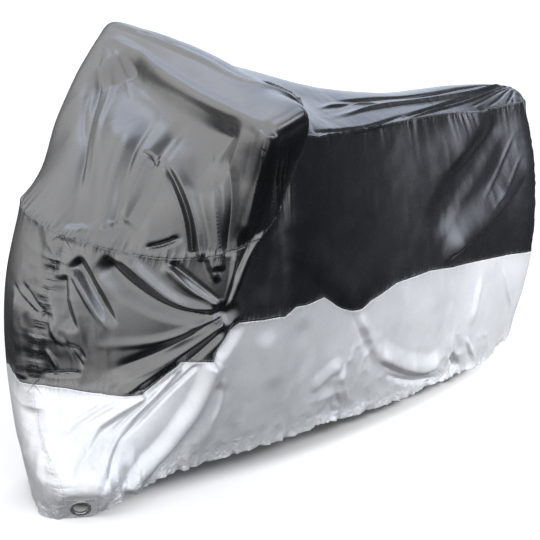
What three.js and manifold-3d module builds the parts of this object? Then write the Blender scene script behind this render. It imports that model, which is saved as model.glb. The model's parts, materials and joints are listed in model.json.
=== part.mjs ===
// Draped cover for a parked two-wheeler, built as one skin and cut along its seams.
// Millimetres. X runs forward, Y to the left, Z up. Tables count from the ground
// under the middle of the cover; the last group moves all to the support point.
import * as THREE from 'three';
import { mergeVertices } from 'three/addons/utils/BufferGeometryUtils.js';
import Module from 'manifold-3d';

const wasm = await Module();
wasm.setup();

// Cloth and seams
const CLOTH = 2;
const HEM = 3.6;
const SEAM_GAP = 0.8;
const NARROWEST_FOLD = 30;

// Grid steps: hem to colour seam, colour seam to shoulder, and up over the bar
const LOW_ROWS = 8;
const HIGH_ROWS = 9;
const HOOD_ROWS = [12, 4, 4];

// Support point under the top, where the seat carries the cloth
const SUPPORT = [-430, -15, 986];

// Pressed ring near the front hem, and the doubled cloth that holds it.
// The patch spans these grid columns and rows, and lies flat round the ring.
const RING = { hole: 18, barrel: 19.7, rim: 27, lip: 1.8, clearance: 0.3, sides: 40 };
const RING_AT = [980, 182, 32];
const RING_AZIMUTH = 55;
const RING_TILT = -25;
const PATCH = { cloth: 3.6, from: 17, to: 21, rows: 2, middle: 19.1, column: 21.5, half: 34, rise: 12 };
const PATCH_PULL = { columns: 5, rows: 4 };

// Stations go clockwise round the cover from the near lower corner of the hood.
// shoulder, seam and hem are points; swell bows the cloth outward above and below the seam.
const STATIONS = [
  {
    name: 'cornerL', swell: [0, 10], cells: 4,
    shoulder: [415, 310, 745], seam: [380, 310, 455], hem: [360, 243, 60],
  },
  {
    name: 'flankL', swell: [0, 10], cells: 5,
    shoulder: [515, 310, 675], seam: [530, 285, 430], hem: [520, 215, 55],
  },
  {
    name: 'cheekL', swell: [0, 12], cells: 6,
    shoulder: [620, 250, 645], seam: [690, 230, 340], hem: [700, 200, 47],
  },
  {
    name: 'browL', swell: [10, 25], cells: 6,
    shoulder: [785, 130, 660], seam: [860, 120, 290], hem: [885, 198, 34],
  },
  {
    name: 'nose', swell: [30, 25], cells: 6,
    shoulder: [895, 20, 705], seam: [965, -30, 295], hem: [1000, 145, 10],
  },
  {
    name: 'limb', swell: [20, 10], cells: 4,
    shoulder: [875, -205, 755], seam: [952, -185, 325], hem: [960, -70, 12],
  },
  {
    name: 'browR', swell: [20, 20], cells: 3,
    shoulder: [740, -300, 775], seam: [820, -290, 360], hem: [780, -220, 20],
  },
  {
    name: 'cheekR', swell: [0, 20], cells: 4,
    shoulder: [600, -340, 800], seam: [620, -350, 400], hem: [600, -280, 40],
  },
  {
    name: 'cornerR', swell: [0, 20], cells: 4,
    shoulder: [400, -360, 880], seam: [420, -370, 430], hem: [400, -300, 50],
  },
  {
    name: 'hipR', swell: [0, 20], cells: 3,
    shoulder: [330, -345, 1090], seam: [320, -370, 430], hem: [300, -310, 50],
  },
  {
    name: 'loinR', swell: [0, 20], cells: 4,
    shoulder: [220, -280, 1090], seam: [200, -365, 430], hem: [180, -310, 50],
  },
  {
    name: 'kneeR', swell: [20, 20], cells: 7,
    shoulder: [0, -230, 1005], seam: [0, -340, 440], hem: [0, -310, 60],
  },
  {
    name: 'seatR', swell: [20, 20], cells: 7,
    shoulder: [-400, -200, 960], seam: [-380, -310, 450], hem: [-380, -280, 70],
  },
  {
    name: 'rumpR', swell: [20, 20], cells: 5,
    shoulder: [-780, -160, 965], seam: [-780, -250, 450], hem: [-760, -220, 100],
  },
  {
    name: 'tailR', swell: [30, 10], cells: 30,
    shoulder: [-1000, -100, 955], seam: [-1030, -120, 430], hem: [-980, -100, 150],
  },
  {
    name: 'tailL', swell: [28, 10], cells: 5,
    shoulder: [-1040, 90, 942], seam: [-1045, 160, 405], hem: [-1010, 105, 132],
  },
  {
    name: 'rumpL', swell: [10, 10], cells: 7,
    shoulder: [-800, 120, 925], seam: [-835, 200, 420], hem: [-790, 195, 70],
  },
  {
    name: 'seatL', swell: [10, 10], cells: 7,
    shoulder: [-440, 165, 933], seam: [-450, 250, 442], hem: [-440, 225, 55],
  },
  {
    name: 'kneeL', swell: [10, 10], cells: 4,
    shoulder: [0, 220, 926], seam: [-10, 285, 425], hem: [-40, 250, 55],
  },
  {
    name: 'loinL', swell: [0, 10], cells: 3,
    shoulder: [250, 300, 935], seam: [180, 300, 440], hem: [140, 250, 68],
  },
  {
    name: 'hipL', swell: [0, 10], cells: 4,
    shoulder: [385, 345, 940], seam: [290, 305, 455], hem: [260, 248, 60],
  },
];

// Lines across the hood, from the near bar end to the far one
const BAR = [
  {
    name: 'tipL', face: [525, 365, 830], barFront: [540, 400, 983],
    barRear: [410, 400, 1022], seam: [345, 335, 1020],
  },
  {
    name: 'gripL', face: [590, 270, 840], barFront: [530, 260, 1016],
    barRear: [405, 260, 1065], seam: [315, 295, 1030],
  },
  {
    name: 'yokeL', face: [680, 150, 870], barFront: [515, 130, 1054],
    barRear: [400, 130, 1105], seam: [300, 160, 1050],
  },
  {
    name: 'yoke', face: [730, 10, 900], barFront: [500, 0, 1090],
    barRear: [395, 0, 1143], seam: [290, 20, 1092],
  },
  {
    name: 'yokeR', face: [710, -150, 940], barFront: [485, -130, 1124],
    barRear: [395, -130, 1172], seam: [290, -120, 1125],
  },
  {
    name: 'gripR', face: [700, -305, 915], barFront: [470, -260, 1153],
    barRear: [400, -260, 1197], seam: [300, -250, 1135],
  },
  {
    name: 'tipR', face: [605, -370, 950], barFront: [465, -385, 1178],
    barRear: [420, -395, 1213], seam: [310, -310, 1130],
  },
];

// Ridge of the top panel, and how much its rear edge is arched
const RIDGE = [
  [290, 20, 1092],
  [200, -60, 1092],
  [-30, -40, 1036],
  [-430, -15, 988],
  [-800, -10, 994],
  [-1035, 0, 988],
];
const TAIL_CROWN = 35;

// How far the colour seam rides up or down; at counts stations
const SEAM_RIDE = [
  { at: 0, rise: -3 },
  { at: 0.5, rise: 8 },
  { at: 0.8, rise: 24 },
  { at: 1, rise: 34 },
  { at: 1.15, rise: 8 },
  { at: 1.4, rise: -35 },
  { at: 1.62, rise: -10 },
  { at: 2, rise: 28 },
  { at: 2.2, rise: 12 },
  { at: 2.5, rise: -21 },
  { at: 2.75, rise: -10 },
  { at: 3, rise: 4 },
  { at: 3.5, rise: 15 },
  { at: 3.85, rise: 13 },
  { at: 4.35, rise: -2 },
  { at: 4.8, rise: 9 },
  { at: 5, rise: 0 },
  { at: 14, rise: 0 },
  { at: 15, rise: -5 },
  { at: 16, rise: 0 },
  { at: 17, rise: 2 },
  { at: 17.3, rise: 12 },
  { at: 17.7, rise: 15 },
  { at: 18, rise: -2 },
  { at: 18.25, rise: -19 },
  { at: 18.5, rise: -18 },
  { at: 18.75, rise: -8 },
  { at: 19, rise: 9 },
  { at: 19.3, rise: 19 },
  { at: 19.7, rise: 11 },
  { at: 20, rise: 7 },
  { at: 20.5, rise: 10 },
  { at: 21, rise: -3 },
];
const RIDE_SCALE = 150;

// Folds. Points run along the crest or trough, depth is positive outward, at both ends.
// left and right are half widths beside the run, grow scales them at its end,
// crown is the crest's radius, and fade is the share of the run that dies away.
const FOLDS = [
  {
    name: 'bar hollow', points: [[500, -255, 1130], [555, -50, 1065], [560, 165, 1010], [555, 340, 950]],
    depth: [-20, -20], left: 32, right: 75, grow: 1, crown: 10, fade: [0.15, 0.1],
  },
  {
    name: 'bar front edge', points: [
      [465, -345, 1175], [475, -215, 1140], [500, -90, 1110], [525, 125, 1050],
      [530, 265, 1015], [540, 400, 985],
    ],
    depth: [7, 9], left: 22, right: 26, grow: 1, crown: 6, fade: [0.1, 0.06],
  },
  {
    name: 'bar end edge', points: [[535, 405, 980], [485, 415, 1000], [425, 410, 1020]],
    depth: [8, 8], left: 20, right: 20, grow: 1, crown: 5, fade: [0.1, 0.1],
  },
  {
    name: 'far flank hollow',
    points: [[510, -320, 1135], [660, -180, 990], [760, -70, 885], [865, 45, 710]],
    depth: [-16, -30], left: 75, right: 50, grow: 1.2, crown: 8, fade: [0.35, 0.05],
  },
  {
    name: 'far pleat rise', points: [[595, -50, 1035], [715, 30, 910], [825, 80, 715]],
    depth: [6, 9], left: 25, right: 30, grow: 1, crown: 6, fade: [0.5, 0.05],
  },
  {
    name: 'far pleat fall', points: [[570, -20, 1045], [680, 50, 935], [800, 100, 720]],
    depth: [-10, -12], left: 22, right: 25, grow: 1, crown: 5, fade: [0.5, 0.05],
  },
  {
    name: 'knee drop top', points: [[585, 85, 1015], [625, 105, 965], [665, 120, 910]],
    depth: [-12, -14], left: 40, right: 32, grow: 1, crown: 3, fade: [0.5, 0],
  },
  {
    name: 'knee drop low', points: [[690, 125, 875], [730, 130, 805], [775, 115, 730]],
    depth: [-14, -10], left: 45, right: 30, grow: 1, crown: 3, fade: [0, 0.1],
  },
  {
    name: 'arc slit', points: [[670, 135, 900], [665, 195, 830], [650, 225, 740], [645, 235, 655]],
    depth: [-12, -20], left: 12, right: 16, grow: 1, crown: 2, fade: [0.2, 0.03],
  },
  {
    name: 'lobe crest', points: [[570, 200, 985], [600, 270, 795], [585, 275, 605]],
    depth: [8, 20], left: 14, right: 50, grow: 0.8, crown: 4, fade: [0.6, 0.05],
  },
  {
    name: 'lobe slit', points: [[560, 260, 965], [575, 300, 795], [570, 280, 645]],
    depth: [-10, -20], left: 28, right: 14, grow: 0.8, crown: 4, fade: [0.5, 0.05],
  },
  {
    name: 'lobe end', points: [[615, 255, 665], [605, 265, 610], [590, 270, 575]],
    depth: [8, 12], left: 16, right: 20, grow: 0.8, crown: 5, fade: [0.3, 0.3],
  },
  {
    name: 'near corner crest', points: [[540, 405, 975], [540, 375, 890], [540, 340, 785], [535, 305, 675]],
    depth: [14, 14], left: 24, right: 40, grow: 1, crown: 4, fade: [0.02, 0.2],
  },
  {
    name: 'swag crest', points: [[805, 115, 655], [755, 165, 590], [680, 225, 520], [580, 275, 500]],
    depth: [18, 8], left: 38, right: 13, grow: 0.6, crown: 3, fade: [0.15, 0.08],
  },
  {
    name: 'swag hollow', points: [[830, 100, 655], [785, 150, 580], [715, 205, 520], [600, 270, 480]],
    depth: [-22, -8], left: 14, right: 70, grow: 0.5, crown: 4, fade: [0.15, 0.08],
  },
  {
    name: 'swag second crest', points: [[710, 190, 630], [655, 235, 560], [585, 275, 510]],
    depth: [12, 5], left: 12, right: 26, grow: 0.5, crown: 3, fade: [0.15, 0.08],
  },
  {
    name: 'swag upper hollow', points: [[700, 200, 635], [640, 245, 575], [580, 275, 520]],
    depth: [-14, -5], left: 24, right: 12, grow: 0.5, crown: 3, fade: [0.15, 0.08],
  },
  {
    name: 'drop line', points: [[465, 320, 725], [515, 310, 650], [545, 295, 565], [570, 280, 495]],
    depth: [9, 4], left: 12, right: 10, grow: 0.8, crown: 3, fade: [0.2, 0.1],
  },
  {
    name: 'pinch', points: [[585, 275, 495], [565, 280, 490]],
    depth: [-26, -26], left: 38, right: 38, grow: 1, crown: 8, fade: [0, 0],
  },
  {
    name: 'fan crest a', points: [[580, 275, 480], [730, 200, 430], [875, 100, 420]],
    depth: [4, 6], left: 10, right: 16, grow: 1.6, crown: 3, fade: [0.05, 0.35],
  },
  {
    name: 'fan hollow', points: [[580, 275, 470], [755, 190, 390], [860, 105, 345]],
    depth: [-6, -11], left: 9, right: 14, grow: 2, crown: 4, fade: [0.05, 0.35],
  },
  {
    name: 'fan crest b', points: [[580, 275, 465], [750, 195, 360], [860, 115, 305]],
    depth: [5, 8], left: 9, right: 14, grow: 2, crown: 4, fade: [0.05, 0.35],
  },
  {
    name: 'fan edge', points: [[575, 280, 465], [705, 220, 375], [830, 150, 285]],
    depth: [6, 16], left: 16, right: 26, grow: 1.2, crown: 4, fade: [0.03, 0.1],
  },
  {
    name: 'under fold hollow', points: [[570, 280, 445], [675, 240, 360], [790, 185, 270]],
    depth: [-10, -14], left: 14, right: 24, grow: 1.2, crown: 4, fade: [0.1, 0.15],
  },
  {
    name: 'knee hollow', points: [[530, 290, 475], [565, 275, 410], [610, 260, 355]],
    depth: [-14, -16], left: 34, right: 14, grow: 1, crown: 4, fade: [0.3, 0.3],
  },
  {
    name: 'nose slit a', points: [[910, 40, 605], [910, 65, 530], [900, 80, 455]],
    depth: [-13, -9], left: 12, right: 12, grow: 1, crown: 3, fade: [0.12, 0.3],
  },
  {
    name: 'nose crest', points: [[900, 50, 615], [875, 90, 530], [835, 130, 455]],
    depth: [9, 5], left: 22, right: 12, grow: 1, crown: 3, fade: [0.12, 0.3],
  },
  {
    name: 'nose slit b', points: [[875, 60, 650], [855, 100, 575], [815, 140, 485]],
    depth: [-14, -9], left: 20, right: 13, grow: 1, crown: 3, fade: [0.12, 0.3],
  },
  {
    name: 'gusset slit', points: [[955, -10, 340], [925, 40, 345], [890, 80, 350]],
    depth: [-9, -9], left: 10, right: 12, grow: 1, crown: 3, fade: [0.3, 0.3],
  },
  {
    name: 'far edge', points: [[960, -90, 565], [970, -90, 430], [970, -90, 310]],
    depth: [12, 12], left: 40, right: 30, grow: 1, crown: 3, fade: [0.2, 0.05],
  },
  {
    name: 'far slit', points: [[955, -85, 575], [960, -15, 525], [950, 25, 490]],
    depth: [-12, -8], left: 10, right: 12, grow: 1, crown: 2, fade: [0.3, 0.3],
  },
  {
    name: 'far swell', points: [[890, -55, 745], [915, -10, 675], [940, 5, 590]],
    depth: [9, 9], left: 28, right: 28, grow: 1, crown: 10, fade: [0.3, 0.3],
  },
  {
    name: 'tail fall', points: [[-930, 125, 905], [-805, 155, 750], [-580, 215, 605], [-360, 255, 490]],
    depth: [-10, -12], left: 22, right: 60, grow: 1, crown: 6, fade: [0.15, 0.2],
  },
  {
    name: 'tail crest', points: [[-990, 160, 740], [-825, 180, 590], [-585, 230, 505], [-380, 255, 465]],
    depth: [14, 14], left: 18, right: 42, grow: 0.9, crown: 5, fade: [0.3, 0.2],
  },
  {
    name: 'side band a', points: [[-710, 135, 915], [-555, 170, 835], [-360, 215, 750]],
    depth: [8, 4], left: 22, right: 26, grow: 1.1, crown: 8, fade: [0.3, 0.6],
  },
  {
    name: 'side band b', points: [[-855, 120, 910], [-645, 170, 780], [-345, 230, 685]],
    depth: [9, 4], left: 24, right: 26, grow: 1.1, crown: 8, fade: [0.3, 0.6],
  },
  {
    name: 'side crease', points: [[395, 315, 690], [230, 305, 565], [55, 290, 425]],
    depth: [5, 7], left: 60, right: 50, grow: 1, crown: 8, fade: [0.5, 0.1],
  },
  {
    name: 'front crest a', points: [[765, 195, 285], [880, 155, 215], [995, 95, 140]],
    depth: [7, 9], left: 10, right: 28, grow: 1.2, crown: 2, fade: [0.05, 0.15],
  },
  {
    name: 'front crest b', points: [[665, 240, 355], [765, 200, 270], [855, 180, 200]],
    depth: [7, 5], left: 9, right: 22, grow: 1, crown: 2, fade: [0.1, 0.4],
  },
  {
    name: 'front edge', points: [[590, 265, 355], [625, 250, 260], [690, 225, 170], [855, 200, 45]],
    depth: [16, 20], left: 30, right: 60, grow: 1, crown: 5, fade: [0.05, 0.05],
  },
  {
    name: 'front shade hollow', points: [[570, 265, 300], [635, 235, 185], [770, 205, 60]],
    depth: [-10, -12], left: 60, right: 20, grow: 1, crown: 6, fade: [0.1, 0.1],
  },
  {
    name: 'chin edge', points: [[975, -75, 280], [965, 40, 235], [1005, 75, 140], [1015, 75, 40]],
    depth: [9, 9], left: 40, right: 35, grow: 1, crown: 6, fade: [0.15, 0.1],
  },
  {
    name: 'stand crest a', points: [[115, 285, 255], [105, 275, 195], [45, 260, 125]],
    depth: [9, 7], left: 12, right: 20, grow: 1, crown: 2, fade: [0.3, 0.3],
  },
  {
    name: 'stand crest b', points: [[30, 285, 340], [-10, 280, 265], [-65, 270, 195]],
    depth: [7, 7], left: 16, right: 12, grow: 1, crown: 3, fade: [0.3, 0.3],
  },
  {
    name: 'rear bulge', points: [[-35, 275, 225], [-220, 255, 155], [-385, 240, 125], [-470, 235, 155]],
    depth: [14, 14], left: 60, right: 14, grow: 1, crown: 5, fade: [0.2, 0.2],
  },
  {
    name: 'rear under', points: [[-75, 265, 170], [-275, 245, 100], [-445, 225, 75]],
    depth: [-9, -9], left: 14, right: 18, grow: 1, crown: 4, fade: [0.3, 0.3],
  },
  {
    name: 'hem arch', points: [[-485, 235, 150], [-530, 225, 85], [-515, 225, 80]],
    depth: [-18, -22], left: 24, right: 22, grow: 1, crown: 5, fade: [0.3, 0],
  },
  {
    name: 'seat ridge a', points: [[155, 205, 965], [-140, 105, 965], [-505, 50, 970], [-1020, 10, 985]],
    depth: [-6, -10], left: 16, right: 22, grow: 0.7, crown: 3, fade: [0.35, 0.05],
  },
  {
    name: 'seat crest b', points: [[-155, 190, 930], [-385, 145, 945], [-705, 70, 960], [-1025, 30, 980]],
    depth: [9, 6], left: 10, right: 10, grow: 0.7, crown: 2, fade: [0.35, 0.05],
  },
  {
    name: 'saddle dip', points: [[95, 140, 985], [-75, 80, 980], [-355, 85, 965]],
    depth: [-7, -4], left: 14, right: 14, grow: 1, crown: 3, fade: [0.3, 0.3],
  },
];

const at = (name) => STATIONS.findIndex((row) => row.name === name);
const add = (a, b, k = 1) => a.map((value, i) => value + b[i] * k);
const sub = (a, b) => a.map((value, i) => value - b[i]);
const dot = (a, b) => a[0] * b[0] + a[1] * b[1] + a[2] * b[2];
const cross = (a, b) => [
  a[1] * b[2] - a[2] * b[1],
  a[2] * b[0] - a[0] * b[2],
  a[0] * b[1] - a[1] * b[0],
];
const size = (a) => Math.hypot(...a);
const unit = (a) => a.map((value) => value / (size(a) || 1));
const middle = (a, b) => a.map((value, i) => (value + b[i]) / 2);
const ease = (x) => {
  const s = Math.min(1, Math.max(0, x));
  return s * s * (3 - 2 * s);
};

// Smooth curve through points at a position counted in points. Its slope at each
// point leans towards the nearer neighbour.
function curve(points, position) {
  const last = points.length - 1;
  const where = Math.min(Math.max(position, 0), last - 1e-9);
  const i = Math.floor(where);
  const s = where - i;
  const step = (k) => sub(points[k + 1], points[k]);
  const long = (k) => size(step(k)) + 1e-9;
  const slope = (k) => {
    if (k === 0) return step(0).map((value) => value / long(0));
    if (k === last) return step(last - 1).map((value) => value / long(last - 1));
    const before = long(k - 1);
    const after = long(k);
    const back = step(k - 1).map((value) => (value / before) * after);
    const ahead = step(k).map((value) => (value / after) * before);
    return add(back, ahead).map((value) => value / (before + after));
  };
  const length = long(i);
  const from = slope(i);
  const to = slope(i + 1);
  const s2 = s * s;
  const s3 = s2 * s;
  return points[i].map((value, axis) =>
    value * (2 * s3 - 3 * s2 + 1) + from[axis] * length * (s3 - 2 * s2 + s)
    + points[i + 1][axis] * (3 * s2 - 2 * s3) + to[axis] * length * (s3 - s2));
}

// The same curve closed on itself
function loopCurve(points, position) {
  const ring = [...points.slice(-2), ...points, ...points.slice(0, 3)];
  return curve(ring, position + 2);
}

// Straight interpolation in a table of at and rise
function ride(position) {
  const next = SEAM_RIDE.findIndex((row) => row.at >= position);
  if (next <= 0) return SEAM_RIDE[0].rise;
  const a = SEAM_RIDE[next - 1];
  const b = SEAM_RIDE[next];
  return a.rise + ((b.rise - a.rise) * (position - a.at)) / (b.at - a.at);
}

// Positions, in stations, of the grid columns from one station to another
function columns(from, to) {
  const list = [];
  for (let i = from; i < to; i += 1) {
    const cells = STATIONS[i].cells;
    for (let k = 0; k < cells; k += 1) list.push(i + k / cells);
  }
  return list;
}

const firstColumn = STATIONS.map((row, i) => columns(0, i).length);
const around = columns(0, STATIONS.length);

// Shoulder line round the cover, arched at the tail
const shoulder = around.map((position) => {
  const point = loopCurve(STATIONS.map((row) => row.shoulder), position);
  const tail = position - at('tailR');
  if (tail > 0 && tail < 1) point[2] += TAIL_CROWN * 4 * tail * (1 - tail);
  return point;
});

// Sides: a grid from the hem up to the shoulder line
function sideGrid() {
  const seam = around.map((p) => loopCurve(STATIONS.map((row) => row.seam), p));
  const hem = around.map((p) => loopCurve(STATIONS.map((row) => row.hem), p));
  const swell = around.map((p) => loopCurve(STATIONS.map((row) => [...row.swell, 0]), p));
  const count = around.length;
  return around.map((position, c) => {
    const ahead = seam[(c + 1) % count];
    const behind = seam[(c - 1 + count) % count];
    const along = unit([ahead[0] - behind[0], ahead[1] - behind[1], 0]);
    const out = [-along[1], along[0], 0];
    const post = [
      hem[c],
      add(middle(seam[c], hem[c]), out, swell[c][1]),
      seam[c],
      add(middle(seam[c], shoulder[c]), out, swell[c][0]),
      shoulder[c],
    ];
    const turn = 2 + ride(position) / RIDE_SCALE;
    const column = [];
    for (let r = 0; r < LOW_ROWS; r += 1) column.push(curve(post, (turn * r) / LOW_ROWS));
    for (let r = 0; r <= HIGH_ROWS; r += 1) {
      column.push(curve(post, turn + ((4 - turn) * r) / HIGH_ROWS));
    }
    return column;
  });
}

// Hood: a grid from the front seam over the bar to the rear seam
function hoodGrid() {
  const far = at('cornerR');
  const across = [...columns(0, far), far];
  const front = shoulder.slice(0, firstColumn[far] + 1);
  const nearClimb = [shoulder[0], ...shoulder.slice(firstColumn[at('hipL')]).reverse()];
  const farClimb = shoulder.slice(firstColumn[far], firstColumn[at('hipR')] + 1).reverse();
  const over = [STATIONS[at('hipL')].shoulder, ...BAR.slice(1, 6).map((row) => row.seam)];
  over.push(STATIONS[at('hipR')].shoulder);
  const overAt = [...columns(1, far - 1), far - 1].map((p) => curve(over, p - 1));
  const rear = [...nearClimb.slice(0, -1), ...overAt, ...farClimb.slice(1)];
  const line = (key) => {
    const ends = [STATIONS[0].shoulder, STATIONS[far].shoulder];
    return [ends[0], ...BAR.map((row) => row[key]), ends[1]];
  };
  const grid = across.map((p, c) => {
    const rib = [
      front[c],
      curve(line('face'), p),
      curve(line('barFront'), p),
      curve(line('barRear'), p),
      rear[c],
    ];
    const column = [];
    for (let r = 0; r < HOOD_ROWS[0]; r += 1) column.push(curve(rib, (2 * r) / HOOD_ROWS[0]));
    for (let r = 0; r < HOOD_ROWS[1]; r += 1) column.push(curve(rib, 2 + r / HOOD_ROWS[1]));
    for (let r = 0; r <= HOOD_ROWS[2]; r += 1) column.push(curve(rib, 3 + r / HOOD_ROWS[2]));
    return column;
  });
  return { grid, over: overAt };
}

// Top: a grid from the hood seam to the tail, blended onto both edges
function topGrid(over) {
  const near = shoulder.slice(firstColumn[at('tailL')], firstColumn[at('hipL')] + 1).reverse();
  const far = shoulder.slice(firstColumn[at('hipR')], firstColumn[at('tailR')] + 1);
  const tail = shoulder.slice(firstColumn[at('tailR')], firstColumn[at('tailL')] + 1).reverse();
  const ridge = [...columns(at('hipR'), at('tailR')), at('tailR')];
  const width = over.length - 1;
  const rows = far.map((edge, r) => {
    const high = curve(RIDGE, ridge[r] - at('hipR'));
    const rib = [near[r], middle(near[r], high), high, middle(edge, high), edge];
    rib[1][2] += 5;
    rib[3][2] += 5;
    return over.map((_, c) => curve(rib, (4 * c) / width));
  });
  const last = rows.length - 1;
  const first = over.map((point, c) => sub(point, rows[0][c]));
  const end = tail.map((point, c) => sub(point, rows[last][c]));
  return rows.map((row, r) => {
    const share = r / last;
    const pullFirst = Math.max(0, 1 - share / 0.25) ** 2;
    const pullEnd = Math.max(0, 1 - (1 - share) / 0.15) ** 2;
    return row.map((point, c) => add(add(point, first[c], pullFirst), end[c], pullEnd));
  });
}

// One skin: points shared by all grids, and labelled four-sided cells
const skin = { points: [], cells: [] };
const seen = new Map();

function pointIndex(point) {
  const key = point.map((value) => Math.round(value * 100)).join();
  if (!seen.has(key)) {
    seen.set(key, skin.points.length);
    skin.points.push(point);
  }
  return seen.get(key);
}

function addCell(corners, panel) {
  const ring = corners.filter((id, i) => id !== corners[(i + 1) % corners.length]);
  if (ring.length > 2) skin.cells.push({ ring, panel });
}

function addGrid(ids, panel) {
  for (let i = 0; i + 1 < ids.length; i += 1) {
    const [line, next] = [ids[i], ids[i + 1]];
    for (let k = 0; k + 1 < line.length; k += 1) {
      addCell([line[k], line[k + 1], next[k + 1], next[k]], panel);
    }
  }
}

const sides = sideGrid().map((column) => column.map(pointIndex));
const nose = firstColumn[at('nose')];
const rearCorner = firstColumn[at('tailL')];
sides.forEach((column, c) => {
  const next = sides[(c + 1) % sides.length];
  const half = c >= nose && c < rearCorner ? 'right' : 'left';
  for (let r = 0; r < LOW_ROWS + HIGH_ROWS; r += 1) {
    const patch = c >= PATCH.from && c < PATCH.to && r < PATCH.rows;
    const band = r < LOW_ROWS ? 'skirt' : 'side';
    const panel = patch ? 'eyelet_patch' : `${band}_${half}`;
    addCell([column[r], column[r + 1], next[r + 1], next[r]], panel);
  }
});

const hood = hoodGrid();
const hoodIds = hood.grid.map((column) => column.map(pointIndex));
addGrid(hoodIds, 'hood');

// Turned so that both grids wind the same way
const topIds = topGrid(hood.over).map((row) => row.map(pointIndex).reverse());
addGrid(topIds, 'top_panel');

// Outward direction at every point of the skin
function outwards() {
  const sum = skin.points.map(() => [0, 0, 0]);
  for (const { ring } of skin.cells) {
    const [a, b, c, d] = ring.map((id) => skin.points[id]);
    const normal = d ? cross(sub(c, a), sub(d, b)) : cross(sub(b, a), sub(c, a));
    for (const id of ring) sum[id] = add(sum[id], normal);
  }
  return sum.map(unit);
}

// Push the skin out or in along each fold
function applyFolds(normals) {
  const push = skin.points.map(() => 0);
  for (const fold of FOLDS) {
    const left = Math.max(fold.left, NARROWEST_FOLD);
    const right = Math.max(fold.right, NARROWEST_FOLD);
    const reach = Math.max(left, right) * Math.max(1, fold.grow);
    const steps = 24;
    const run = Array.from({ length: steps + 1 }, (_, k) =>
      curve(fold.points, ((fold.points.length - 1) * k) / steps));
    skin.points.forEach((point, id) => {
      if (Math.min(...run.map((q) => size(sub(point, q)))) > reach + 20) return;
      let best = { gap: Infinity };
      for (let k = 0; k < steps; k += 1) {
        const edge = sub(run[k + 1], run[k]);
        const share = Math.min(1, Math.max(0, dot(sub(point, run[k]), edge) / dot(edge, edge)));
        const off = sub(point, add(run[k], edge, share));
        if (size(off) < best.gap) best = { gap: size(off), off, edge, along: (k + share) / steps };
      }
      const onLeft = dot(best.off, cross(normals[id], best.edge)) > 0;
      const wide = (onLeft ? left : right) * (1 + (fold.grow - 1) * best.along);
      const rounded = (Math.hypot(best.gap, fold.crown) - fold.crown) / wide;
      if (rounded >= 1) return;
      const [first, second] = fold.depth;
      const fadeIn = fold.fade[0] ? ease(best.along / fold.fade[0]) : 1;
      const fadeOut = fold.fade[1] ? ease((1 - best.along) / fold.fade[1]) : 1;
      const depth = (first + (second - first) * best.along) * fadeIn * fadeOut;
      push[id] += depth * (1 - rounded) ** 1.6;
    });
  }
  skin.points = skin.points.map((point, id) => add(point, normals[id], push[id]));
}

applyFolds(outwards());

// The ring's own directions: out of the cloth, forward along it, and up along it
const azimuth = THREE.MathUtils.degToRad(RING_AZIMUTH);
const tilt = THREE.MathUtils.degToRad(RING_TILT);
const ringAxis = [
  Math.cos(tilt) * Math.cos(azimuth),
  Math.cos(tilt) * Math.sin(azimuth),
  Math.sin(tilt),
];
const ringAhead = [Math.sin(azimuth), -Math.cos(azimuth), 0];
const ringUp = cross(ringAhead, ringAxis);

// Lay the patch flat round its ring, and let the cloth beside it follow
function flattenPatch() {
  const clamp = THREE.MathUtils.clamp;
  const place = (c, r) => {
    const along = (c - PATCH.middle) * PATCH.column;
    const corner = c === PATCH.from ? PATCH.rise * (1 - r / PATCH.rows) : 0;
    const high = PATCH.half * ((2 * r) / PATCH.rows - 1) + corner;
    return add(add(RING_AT, ringAhead, along), ringUp, high);
  };
  const before = [...skin.points];
  for (let c = PATCH.from - PATCH_PULL.columns; c <= PATCH.to + PATCH_PULL.columns; c += 1) {
    for (let r = 0; r <= PATCH.rows + PATCH_PULL.rows; r += 1) {
      const column = clamp(c, PATCH.from, PATCH.to);
      const row = clamp(r, 0, PATCH.rows);
      const pull = sub(place(column, row), before[sides[column][row]]);
      const away = Math.hypot((c - column) / PATCH_PULL.columns, (r - row) / PATCH_PULL.rows);
      skin.points[sides[c][r]] = add(before[sides[c][r]], pull, ease(1 - away));
    }
  }
}

flattenPatch();
const normals = outwards();
for (const cell of skin.cells) {
  if (cell.panel === 'eyelet_patch') for (const id of cell.ring) normals[id] = ringAxis;
}

const hemIds = new Set(sides.map((column) => column[0]));

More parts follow.
